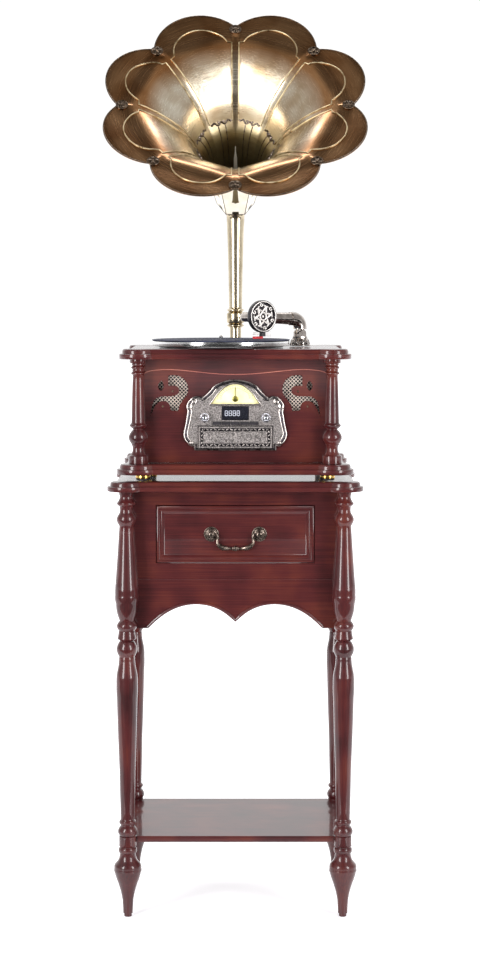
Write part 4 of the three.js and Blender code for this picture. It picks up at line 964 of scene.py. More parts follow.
@dataclass
class Stand:
    """The lower piece of furniture: four turned legs, a case with a drawer, a low shelf."""

    leg_top: float = 825.0
    shelf_top: float = 157.0
    arch_rise: float = 46.6
    arch_cusp: float = 12.7
    arch_margin: float = 36.5
    arch_bead: float = 3.0
    joint_bead: float = 1.0
    hollow: float = 16.9

    def leg_profile(self) -> Profile:
        """Finds the leg's profile, from its glide to the top board."""
        glide = [(0, 0), (6.9, 0), (7.5, 0.8), (7.5, 6), (9.3, 6.6)]
        below = [(9.6, -140), (10.6, -124), (18.8, -91, -0.8), (25.6, -70, 0.4), (26.3, -62, 0.8),
                 (24.4, -53, 1.0), (15.4, -35, -2.2), (15.2, -32), (17.2, -30, 0.5), (17.2, -23, 0.6),
                 (15, -21, 0.3), (15, -20), (16.8, -18), (16.5, -14), (16.5, 0.6), (15, 1), (15, 19.5, 3.9),
                 (13.5, 20.5), (13.5, 24), (15.6, 26, 0.5), (16.2, 28.5, 0.3), (15.6, 31, 0.3),
                 (13.2, 34, -0.5), (15.2, 126, 0.2), (19.9, 270, 0.3), (20.7, 298, 0.4), (19.2, 320, 0.6)]
        above = [(15.2, -319, -0.8), (14.9, -318), (14.9, -289, 5.0), (13.1, -288), (13.1, -287),
                 (17.9, -284, -0.3), (17.9, -282), (15.7, -269, -0.3), (15, -268), (15, -250, 4.4),
                 (14, -249), (14.2, -247), (20.9, -215, 1.6), (22.4, -199, 0.9), (21.2, -175, 0.5),
                 (13.4, -67, -0.2), (13.5, -66), (13.5, -42.5, 5.0), (12.8, -41.5), (12.8, -29.5, -0.6),
                 (17.4, -25.5, 0.2), (17.4, -22, 0.5), (12.4, -13, -0.5), (12.4, -9), (13.5, -6), (13.5, 0),
                 (0, 0)]
        return glide + lifted(below, self.shelf_top) + lifted(above, self.leg_top)

    def arch(self, half: float, foot: float) -> Outline:
        """Finds the lower edge of the apron, from right to left.

        Args:
            half: half the apron's width.
            foot: height of its feet.

        Returns:
            The points of the edge.
        """
        spring = half - self.arch_margin
        crown = spring * 0.45
        apex = foot + self.arch_rise
        cusp = foot + self.arch_cusp
        return both_halves(path(
            (half, foot), (spring, foot),
            ((spring * 0.85, foot + self.arch_rise * 0.58), (spring * 0.67, apex), (crown, apex)),
            ((crown * 0.58, apex), (crown * 0.26, cusp + 21), (0, cusp)), steps=12))

    def build(self) -> None:
        """Builds and dresses the stand."""
        for where in CORNERS:
            node = "leg_" + where
            piece = Piece("turned_" + node, "cabinet", "mahogany", node)
            turn(piece.bm, self.leg_profile(), extent(node).foot, UP, 44)
            piece.done(WOOD_Z)
        self.build_apron()
        self.build_shelf()
        dress(WOOD_X, "drawer_frame", "stand_back")
        dress(WOOD_Y, "stand_side_left", "stand_side_right")

    def build_apron(self) -> None:
        """The arched rail under the drawer, with a bead along its arches."""
        box = extent("front_apron")
        half = box.high.x
        edge = self.arch(half, box.low.z)
        points = [(-half, box.high.z)] + edge[::-1] + [(half, box.high.z)]
        piece = Piece("arched_apron", "cabinet", "mahogany", "front_apron")
        back = outline(piece.bm, points, box.high.y)
        raise_face(piece.bm, back, FRONT * box.size.y)
        inner = [Vector((x, box.low.y + 0.8, z + 2.2)) for x, z in edge[1:-1]]
        tube(piece.bm, inner, self.arch_bead, 2)
        joint = [Vector((x, box.low.y + 0.2, box.high.z - 1.2)) for x in (1 - half, half - 1)]
        tube(piece.bm, joint, self.joint_bead, 1)
        piece.done(WOOD_X, 0.8)

    def build_shelf(self) -> None:
        """The low shelf, its corners hollowed round the legs."""
        box = extent("lower_shelf")
        leg = extent("leg_front_left")
        points = []
        for corner, (sx, sy) in enumerate(QUARTERS):
            cx = sx * abs(leg.middle.x)
            cy = box.middle.y + sy * (box.middle.y - leg.middle.y)
            first = pi * 1.5 + corner * pi / 2
            for i in range(13):
                angle = first - pi / 2 * i / 12
                points.append((cx + self.hollow * cos(angle), cy + self.hollow * sin(angle)))
        piece = Piece("low_shelf", "cabinet", "mahogany", "lower_shelf")
        face = plan(piece.bm, points, box.low.z)
        raise_face(piece.bm, face, UP * box.size.z)
        piece.done(WOOD_X, 1.2, 3)


@dataclass
class Drawer:
    """The drawer: a moulded front, a box of plain timber and a drop handle."""

    pull_span: float = 92.0
    rosette: float = 14.3
    post: float = 5.2
    bail_span: float = 72.0
    bail_drop: float = 27.0
    beads: int = 20

    def build(self) -> None:
        """Builds and dresses the drawer."""
        self.build_front()
        for where, side in SIDES:
            self.build_rosette(where, side)
        self.build_bail()
        dress(TIMBER, "drawer_box")

    def build_front(self) -> None:
        """The front, framed by a stepped moulding round a sunk field."""
        box = extent("drawer_front")
        frame_face = extent("drawer_frame").low.y
        piece = Piece("moulded_drawer_front", "drawer", "mahogany", "drawer_front")
        half = box.high.x
        back = outline(piece.bm, rectangle(-half, box.low.z, half, box.high.z), box.high.y)
        near = raise_face(piece.bm, back, FRONT * (box.high.y - frame_face))
        mould(piece.bm, near, [(0.3, 1.6), (0.9, 1.0), (1.6, 0.6), (1.8, 0.2), (0.5, -1.2), (0.5, -0.3),
                               (3.0, 0.0), (0.4, 0.9), (0.8, 0.4), (1.6, 0.1), (0.8, -0.5), (1.4, -1.4),
                               (1.8, -1.6), (1.2, -0.5)])
        piece.done(WOOD_X)

    def build_rosette(self, where: str, side: int) -> None:
        """One rosette, its ring of beads and the post that holds the bail.

        Args:
            where: left or right.
            side: -1 or 1; not used.
        """
        node = "drawer_rosette_" + where
        box = extent(node)
        centre = Vector((box.middle.x, box.high.y, box.middle.z))
        piece = Piece("domed_rosette_" + where, "drawer", "bronze", node)
        r = self.rosette
        profile = [(0, 0), (r - 0.4, 0), (r, 0.6), (r - 0.4, 1.7, 0.3), (r - 2.4, 1.8), (r - 3.2, 1.2),
                   (r - 4.0, 2.4, 0.4), (self.post + 2, 4.2, 0.5), (self.post, 5.6, -0.4),
                   (self.post - 0.4, 9.2), (self.post, 11.5, 0.6), (self.post - 1.5, 13.6, 0.6), (0, 14, 0.3)]
        turn(piece.bm, profile, centre, FRONT, 36)
        for place in circle(centre + FRONT * 1.8, RIGHT, UP, r - 1.6, self.beads):
            ball(piece.bm, place, (1.3, 0.9, 1.3), detail=8)
        piece.done(BRONZE)

    def build_bail(self) -> None:
        """The drop handle: leaf-like swellings either side of necks and a middle bead."""
        box = extent("drawer_bail")
        pivot = Vector((0, box.middle.y, extent("drawer_rosette_left").middle.z))
        half = self.bail_span / 2
        drop = self.bail_drop
        pin = self.pull_span / 2
        leaf = [(pin, 0, 2), (half + 1.5, 0, 2), (half + 0.5, 0, 3.6), (half - 1.6, -2, 3.6),
                (half - 2.7, -6, 2.8), (half - 1.7, -11, 2.6), (half - 1.2, -15, 2.9), (half - 3.0, -19, 3.8),
                (half - 6.5, -22.4, 4.6), (half - 10.5, -24.8, 5.1), (half - 14.5, -26, 5.0),
                (half - 18.5, -26.6, 4.2), (half - 22, -26.9, 3.2)]
        middle = [(half - 25, 2.5), (7, 2.3), (6.2, 2.4), (5.6, 4.0), (4.6, 4.3), (4.2, 3.0), (3.2, 3.2),
                  (2.6, 5.0), (1.3, 5.4)]
        right = leaf + [(x, -drop, r) for x, r in middle]
        stations = right + [(-x, z, r) for x, z, r in reversed(right)]
        piece = Piece("drop_handle", "bail", "bronze", "drawer_bail")
        swept(piece.bm, [(Vector((x, 0, z)) + pivot, r) for x, z, r in stations], 3)
        piece.done(BRONZE)


@dataclass
class PlayerCase:
    """The player's case: boards, turned columns, feet and the fretted front."""

    line_radius: float = 0.9
    wire_pitch: float = 5.0
    wire_radius: float = 0.62

    def column_profile(self, top: float) -> Profile:
        """Finds the column's profile, from its square-edged foot up.

        Args:
            top: the case's height.

        Returns:
            The profile.
        """
        below = [(0, 0), (18.5, 0), (18.5, 14, 0.2), (17.6, 15.2), (14.4, 17.5, -0.5), (10.9, 26, -0.6),
                 (10.9, 29), (12.5, 35, -0.4), (13.4, 36), (13, 37), (13, 62, 5.6), (10.4, 64.5),
                 (10.1, 66, -0.3), (15.4, 70), (16, 71.4), (16, 74.5, 0.7), (13.2, 78, -0.4), (13, 79)]
        above = [(10.2, -31, 0.25), (10.4, -30.4), (10.4, -23.6, 3.2), (11, -22.2), (11, -20.8),
                 (10.6, -19.4), (10.6, -13.2, 3.0), (12, -11), (12, -9), (15.1, -7.6), (15.5, -6.4),
                 (15.5, 0), (0, 0)]
        return below + lifted(above, top)

    def build(self) -> None:
        """Builds and dresses the case."""
        top = extent("front_panel").size.z
        for where in CORNERS:
            node = "column_" + where
            piece = Piece("turned_" + node, "cabinet", "mahogany", node)
            turn(piece.bm, self.column_profile(top), extent(node).foot, UP, 40)
            piece.done(WOOD_Z)
            self.build_foot(where)
        self.build_front()
        dress(WOOD_Y, "case_side_left", "case_side_right")
        dress(DARK_PLASTIC, "back_panel")

    def build_foot(self, where: str) -> None:
        """Builds a foot: a gold ring over a black pad.

        Args:
            where: which corner.
        """
        node = "foot_" + where
        box = extent(node)
        r = box.size.x / 2
        ring = Piece("ringed_" + node, "cabinet", "foot_gold", node)
        profile = [(0, 3.5), (r - 0.8, 3.5), (r, 4.4, 0.2), (r, 10.5), (r - 0.8, 12), (0, 12)]
        turn(ring.bm, profile, box.foot, UP, 36)
        ring.done(GOLD)
        pad = Piece("pad_of_" + node, "cabinet", "dark_plastic")
        turn(pad.bm, [(0, 0), (r - 2, 0), (r - 1, 1, 0.2), (r - 1, 3.4), (0, 3.4)], box.foot, UP, 32)
        pad.done(DARK_PLASTIC)

    def scroll(self) -> Outline:
        """Finds the right-hand scrolled opening, over the panel's foot."""
        return path((128, 167), ((105, 171), (90, 159), (90, 140)), ((90, 123), (107, 122), (109, 99)),
                    (124, 100), ((124, 116), (132, 119), (140, 118)), ((152, 117), (157, 102), (162, 90)),
                    ((160, 112), (157, 127), (138, 127)), ((124, 127), (107, 126), (107, 139)),
                    ((107, 149), (122, 148), (128, 147)))

    def leaf(self) -> Outline:
        """Finds the right-hand leaf opening beside the scroll, over the panel's foot."""
        tip = (141, 157)
        return path(tip, ((150, 151), (150, 143), (142, 137)), ((135, 143), (135, 151), tip), steps=6)[:-1]

    def routed(self, half: float) -> Outline:
        """Finds the routed line, from the panel's lower left corner round to its lower right one.

        Args:
            half: half the panel's width.

        Returns:
            The line, over the panel's foot.
        """
        edge = 5 - half
        return both_halves(path(
            (edge, 6), (edge, 160), ((edge, 172), (7 + edge, 174), (17 + edge, 176), 6),
            ((-110, 184), (-70, 169), (0, 169), 20)))

    def build_front(self) -> None:
        """The front panel, its frets, the routed line over them and the wire behind."""
        box = extent("front_panel")
        foot = box.low.z
        half = box.high.x
        piece = Piece("fretted_front_panel", "cabinet", "mahogany", "front_panel")
        radio = [(74.3, 27), (74.3, 95.2), (51.5, 127.8), (51.5, 138.9), (32.5, 151)]
        loops = [rectangle(-half, 0, half, box.size.z), radio + mirrored(radio)]
        for opening in (self.scroll(), self.leaf()):
            loops += [opening, mirrored(opening)]
        filled(piece.bm, [[(x, foot + z) for x, z in loop] for loop in loops], box.low.y, box.high.y)
        piece.done(WOOD_X)
        bead = Piece("routed_line", "cabinet", "mahogany")
        route = [Vector((x, box.low.y + 0.35, foot + z)) for x, z in self.routed(half)]
        tube(bead.bm, route, self.line_radius, 1)
        bead.done(ROUTED)
        pins = Piece("fret_pins", "cabinet", "bronze")
        for _, side in SIDES:
            for x, up in ((119.6, 136.5), (138.4, 107.8)):
                turn(pins.bm, [(0, -0.4), (2.0, -0.4), (2.0, 0.3), (1.2, 0.9, 0.2), (0, 1.1, 0.1)],
                     Vector((side * x, box.low.y, foot + up)), FRONT, 16)
        pins.done(DARK_BRONZE)
        for where, side in SIDES:
            self.build_mesh(where, side)

    def build_mesh(self, where: str, side: int) -> None:
        """Builds the woven wire behind one fret.

        Args:
            where: left or right.
            side: -1 or 1; not used.
        """
        node = "grille_mesh_" + where
        box = extent(node)
        # Real wire cloth is finer; this is as coarse as it needs to be to show.
        pitch = self.wire_pitch
        piece = Piece("woven_" + node, "cabinet", "mesh", node)
        reach = box.size.x / 2
        count = int(2 * reach / pitch)
        for slope in (1, -1):
            for i in range(-count, count + 1):
                shift = i * pitch * sqrt(2)
                start = max(-reach, -reach - shift)
                end = min(reach, reach - shift)
                if end - start > pitch:
                    ends = [(start, start + shift), (end, end + shift)]
                    y = box.low.y + 0.5 + 0.25 * slope
                    route = [Vector((box.middle.x + x, y, box.middle.z + slope * z)) for x, z in ends]
                    tube(piece.bm, route, self.wire_radius, 0)
        piece.done(WIRE)


BUTTONS = range(1, 6)


@dataclass
class RadioFront:
    """The embossed radio front with its dial, display, knobs, buttons and disc tray."""

    dial_foot: float = 113.0
    needle_axis: float = 122.0
    leaf_count: int = 17
    border_inset: float = 6.1
    digit_height: float = 9.4
    digit_width: float = 5.0
    digit_pitch: float = 7.6
    stroke: float = 0.9

    def side_line(self, foot: float) -> Outline:
        """Finds the right-hand edge of the plate, from its foot to the top of the arch.

        Args:
            foot: the height of the plate's foot.

        Returns:
            The points.
        """
        bends = [((86, 4), (90.5, 13)), ((98.9, 20), (98.9, 31)), ((93, 58), (91, 76)), ((98, 88), (82, 101)),
                 ((74, 106), (66, 98)), ((48, 112), (42, 122)), ((24, 135), (0, 135))]
        points = [(78.2, 0), (78.2, 10)]
        for bend, end in bends:
            near, far = (tuple(p + (b - p) * 2 / 3 for p, b in zip(place, bend))
                         for place in (points[-1], end))
            points += curve(points[-1], near, far, end)
        return [(x, foot + z) for x, z in points]

    def dial(self, foot: float, margin: float = 0.0) -> Outline:
        """Finds the outline of the dial window.

        Args:
            foot: the height of its foot.
            margin: the gap round it.

        Returns:
            Its outline.
        """
        half = 47.5 + margin
        low = foot - margin
        top = foot + 37 + margin
        return both_halves(path(
            (half, low), ((half * 0.88, low + 6.7), (half * 0.8, low + 13), (half * 0.74, low + 18), 5),
            ((half * 0.56, low + 30), (half * 0.3, top), (0, top), 9)))

    def build(self) -> None:
        """Builds and dresses the radio front."""
        dress(STEEL, "disc_drive")
        dress(BOARD, "amplifier_board")
        self.build_plate()
        self.build_dial()
        self.build_display()
        for name in ("volume", "tuning"):
            self.build_knob(name)
        for number in BUTTONS:
            self.build_button(number)
        self.build_tray()

    def build_plate(self) -> None:
        """The plate with its openings, and the rails, scrolls and balls cast on it."""
        box = extent("radio_bezel")
        foot = box.low.z
        face = box.low.y
        dial_foot = extent("front_panel").low.z + self.dial_foot
        edge = both_halves(self.side_line(foot))
        openings = [self.window(f"radio_button_{number}", 0.4, 0.0, 1.0) for number in BUTTONS]
        openings = [self.dial(dial_foot, 0.2), self.window("display_window", 0.3, 2.0, 2.0),
                    self.window("disc_tray", 0.4), *openings]
        piece = Piece("hammered_radio_front", "cabinet", "pewter", "radio_bezel")
        filled(piece.bm, [edge, *openings], face + 1.2, box.high.y)
        piece.done(PEWTER, 0.4)
        rails = Piece("radio_front_rails", "cabinet", "pewter")
        centre = Vector((0, 0, foot + 66))
        grooves = Piece("radio_front_grooves", "cabinet", "pewter")
        spokes = [Vector((x, 0, z)) - centre for x, z in edge]
        beads = ((rails.bm, 1.1, 1.0, 0.6), (grooves.bm, 4.4, 2.9, 2.7), (rails.bm, 7.6, 0.9, 0.6))
        for bm, inset, radius, out in beads:
            route = [centre + spoke * (1 - inset / spoke.length) - FRONT * (face + out) for spoke in spokes]
            tube(bm, route, radius, 2, closed=True)
        frames = ((rails.bm, self.dial(dial_foot, 3.6), 0.8, 2, 0.7),
                  (grooves.bm, self.dial(dial_foot, 1.8), 1.2, 2, 1.3),
                  (grooves.bm, self.window("display_window", 0.9, 2.0, 2.0), 0.9, 1, 1.3),
                  (grooves.bm, self.window("disc_tray", 0.9), 0.9, 1, 1.3))
        for bm, loop, radius, rings, out in frames:
            tube(bm, [Vector((x, face + out, z)) for x, z in loop], radius, rings, closed=True)
        grooves.done(PATINA)
        for _, sign in SIDES:
            self.add_ear(rails.bm, sign, foot, face)
        rails.done(BRIGHT_PEWTER)

    def add_ear(self, bm: Mesh, sign: int, foot: float, face: float) -> None:
        """Adds the scrolls on a shoulder and the ball at the foot of one side.

        Args:
            bm: where they go.
            sign: -1 on the left, 1 on the right.
            foot: the height of the plate's foot.
            face: the depth of its front.
        """
        for cx, cz, size, start in ((79, 93, 6.0, 0.4), (88, 84, 5.0, 2.6)):
            scroll = []
            for i in range(26):
                angle = start + i * 0.36
                reach = size * (1 - i / 34)
                x = sign * (cx + reach * cos(angle))
                z = foot + cz + reach * sin(angle)
                scroll.append((Vector((x, face + 0.2, z)), 1.5 * (1 - i / 60)))
            swept(bm, scroll, 2)
        ball(bm, Vector((sign * 84.5, face, foot + 14)), (4.6, 3.4, 4.6), detail=16)

    def window(self, node: str, margin: float, flange_x: float = 0.0, flange_z: float = 0.0) -> Outline:
        """Finds the opening round a node that shows through the plate.

        Args:
            node: the node.
            margin: the gap round it.
            flange_x: how much wider the node is behind the plate, to each side.
            flange_z: how much higher and lower it is there.

        Returns:
            The opening's outline.
        """
        box = extent(node)
        x, z = margin - flange_x, margin - flange_z
        return rectangle(box.low.x - x, box.low.z - z, box.high.x + x, box.high.z + z)

    def build_dial(self) -> None:
        """The printed card, its generic scale marks and the needle."""
        dress(DIAL, "dial_card")
        front = extent("dial_pointer").low.y
        axis = Vector((0, extent("dial_card").low.y - 0.05, extent("front_panel").low.z + self.needle_axis))
        marks = Piece("dial_marks", "cabinet", "dial")

        def spoke(share: float, reach: float) -> Vector:
            """A place on the card, a share of the way round its flattened half circle."""
            angle = pi * share
            return axis + Vector((1.16 * cos(angle), 0, 0.86 * sin(angle))) * reach

        for ring in (23.5, 29.5):
            tube(marks.bm, [spoke(i / 40, ring) for i in range(41)], 0.22, 0)
        for i in range(21):
            long = 3.4 if i % 5 else 5.6
            tube(marks.bm, [spoke(i / 20, 24), spoke(i / 20, 24 + long)], 0.28, 0)
        marks.done(INK)
        piece = Piece("dial_needle", "pointer", "olive", "dial_pointer")
        centre = Vector((0, front, axis.z))
        hub = [(0, 0), (3.2, 0), (5.0, 0.8, 0.2), (5.5, 1.6), (5.5, 3), (1.4, 3.2), (1.4, 12), (0, 12)]
        turn(piece.bm, hub, centre, -FRONT, 32)
        block(piece.bm, (-0.55, front + 1.6, axis.z + 3), (0.55, front + 2.2, axis.z + 23))
        piece.done(OLIVE, 0.15)

    def build_display(self) -> None:
        """The dark window with four pale digits of seven segments."""
        dress(SCREEN, "display_window")
        box = extent("display_window")
        face = box.low.y
        segments = Piece("display_digits", "cabinet", "dark_glass")
        wide, high, half = self.digit_width, self.digit_height, self.digit_height / 2
        lit = [((0, z), (wide, z)) for z in (high, 0, half)]
        lit += [((x, z), (x, z + half)) for x in (0, wide) for z in (0, half)]
        edge = self.stroke / 2
        for digit in range(4):
            x = (digit - 2) * self.digit_pitch - 4.3
            z = box.middle.z - half
            for (x0, z0), (x1, z1) in lit:
                low = (x + x0 - edge, face - 0.12, z + z0 - edge)
                block(segments.bm, low, (x + x1 + edge, face + 0.3, z + z1 + edge))
        segments.done(DIGITS)

    def build_knob(self, name: str) -> None:
        """Builds a ball knob on its collar.

        Args:
            name: volume or tuning.
        """
        node = name + "_knob"
        box = extent(node)
        face = extent("radio_bezel").low.y
        centre = Vector((box.middle.x, face, box.middle.z))
        piece = Piece("ball_" + node, name, "chrome", node)
        profile = [(0, -18), (2.5, -18), (2.5, 0.3), (8.2, 0.3), (8.7, 0.9, 0.2), (8.2, 2.0, 0.3),
                   (6.6, 1.7, -0.2), (3.2, 2.2), (3.0, 3.4), (5.4, 5.2, 0.5), (7.0, 8.6, 0.5),
                   (7.2, 10.6, 0.1), (6.7, 13.4, 0.4), (4.4, 16.6, 0.6), (0, 18.0, 0.5)]
        turn(piece.bm, profile, centre, FRONT, 40)
        for place in circle(centre + FRONT * 1.9, RIGHT, UP, 7.6, 16):
            ball(piece.bm, place, (0.8, 0.6, 0.8), detail=6)
        piece.done(CHROME)

    def build_button(self, number: int) -> None:
        """Builds one push button with eased edges and a small raised bar.

        Args:
            number: from the left.
        """
        node = f"radio_button_{number}"
        box = extent(node)
        face = Vector((box.middle.x, box.low.y, box.middle.z))
        piece = Piece(f"push_button_{number}", f"button_{number}", "dark_plastic", node)
        block(piece.bm, box.low + UP, box.high - UP)
        block(piece.bm, face + Vector((-4, -0.25, -0.6)), face + Vector((4, 0.5, 0.6)))
        piece.done(DARK_PLASTIC, 0.35)

    def build_tray(self) -> None:
        """The tray: a moulded front with two rows of leaves, and the plate behind."""
        box = extent("disc_tray")
        face = box.low.y
        plate_front = extent("radio_bezel").low.y
        piece = Piece("disc_tray_front", "tray", "pewter", "disc_tray")
        x, low, high = box.high.x, box.low.z, box.high.z
        back = outline(piece.bm, rectangle(-x, low, x, high), plate_front + 4.6)
        near = raise_face(piece.bm, back, FRONT * (plate_front + 4.6 - face - 1.4))
        mould(piece.bm, near, [(0.6, 1.0), (1.6, 0.2), (0.5, -1.0), (6.2, 0.0), (0.5, 0.8), (1.0, 0.0),
                               (0.5, -1.0)])
        piece.done(PEWTER, 0.15)
        border = Piece("disc_tray_border", "tray", "pewter")
        ground = Piece("disc_tray_ground", "tray", "pewter")
        rows = (low + self.border_inset, high - self.border_inset)
        ends = (self.border_inset - x, x - self.border_inset)
        last = self.leaf_count - 1
        leaves = [(i * (2 * x - 18) / last + 9 - x, row, 35 if i % 2 else -35, 3.1, 1.25)
                  for row in rows for i in range(self.leaf_count)]
        leaves += [(end, low + 10.5 + i * 7, 60 if i % 2 else -60, 3.0, 1.2)
                   for end in ends for i in range(4)]
        for across, up, lean, long, wide in leaves:
            leaned = Matrix.Rotation(radians(lean), 4, "Y")
            ball(border.bm, Vector((across, face + 1.2, up)), (long, 0.9, wide), leaned, 8)
        border.done(BRIGHT_PEWTER)
        for row in rows:
            block(ground.bm, (3.2 - x, face + 1.05, row - 2.7), (x - 3.2, face + 1.5, row + 2.7))
        for end in ends:
            block(ground.bm, (end - 2.7, face + 1.05, low + 8.8), (end + 2.7, face + 1.5, high - 8.8))
        ground.done(PATINA)
        self.build_tray_plate(box, plate_front + 4.4)

    def build_tray_plate(self, box: Extent, start: float) -> None:
        """Builds the plate that carries the disc, rimmed, with a boss in its middle.

        Args:
            box: the tray's box.
            start: where the plate meets the tray's front.
        """
        plate = Piece("disc_tray_plate", "tray", "dark_plastic")
        half = 63.0
        top = box.middle.z + 3.0
        block(plate.bm, (-half, start, top - 7.5), (half, box.high.y, top))
        upper = plan(plate.bm, rectangle(-half, start, half, box.high.y), top)
        mould(plate.bm, upper, [(0.5, 1.5), (1.5, 0.0), (0.5, -1.0)])
        boss = Vector((0, box.middle.y + 6, top + 1.5))
        turn(plate.bm, [(0, -1.4), (7, -1.4), (7.5, -1, 0.2), (7.5, 0), (0, 0)], boss, UP, 32)
        plate.done(DARK_PLASTIC)


@dataclass
class Turntable:
    """The platter with its bright rim and the ribbed mat on it."""

    rib_pitch: float = 3.8
    rib_depth: float = 0.5
    label_radius: float = 22.0

    def build(self) -> None:
        """Builds and dresses the turntable."""
        dress(DARK_PLASTIC, "deck_plate")
        dress(STEEL, "platter_motor")
        platter = extent("platter")
        centre = Vector((platter.middle.x, platter.middle.y, 0))
        deck = extent("deck_plate").high.z + 0.5
        edge = platter.size.x / 2
        top = extent("platter_mat").low.z
        piece = Piece("turned_platter", "turntable", "platter_alloy", "platter")
        spindle = platter.high.z
        profile = [(0, platter.low.z), (3, platter.low.z), (3, deck), (18, deck), (18, top - 3.5),
                   (edge - 7, top - 3.5), (edge - 7, deck + 0.2), (edge - 2, deck + 0.2),
                   (edge - 0.4, deck + 1.2, 0.3), (edge, deck + 2.4), (edge, top - 2.2),
                   (edge - 0.5, top - 0.9, 0.2), (edge - 1.5, top), (3.5, top), (3.5, spindle - 3),
                   (3.2, spindle - 1.4, 0.2), (0, spindle, 0.8)]
        turn(piece.bm, profile, centre, UP, 128)
        piece.done(ALLOY)
        self.build_mat(centre, top)

    def build_mat(self, centre: Vector, foot: float) -> None:
        """Builds the mat, with the fine rings of its ribs.

        Args:
            centre: on the platter's axis.
            foot: height of the platter's top.
        """
        box = extent("platter_mat")
        edge = box.size.x / 2
        top = box.high.z
        piece = Piece("ribbed_mat", "turntable", "mat_rubber", "platter_mat")
        profile = [(3.9, foot + 0.05), (edge - 0.4, foot + 0.05), (edge, foot + 0.6),
                   (edge - 0.6, top - 0.5, 0.2)]
        ring = edge - 3
        hollow = top - self.rib_depth
        while ring > self.label_radius:
            profile += [(ring, top), (ring - 2.2, top), (ring - 2.7, hollow), (ring - 3.3, hollow)]
            ring -= self.rib_pitch
        profile += [(20, top), (3.9, top), (3.9, foot + 0.05)]
        turn(piece.bm, profile, centre, UP, 96)
        piece.done(MAT)


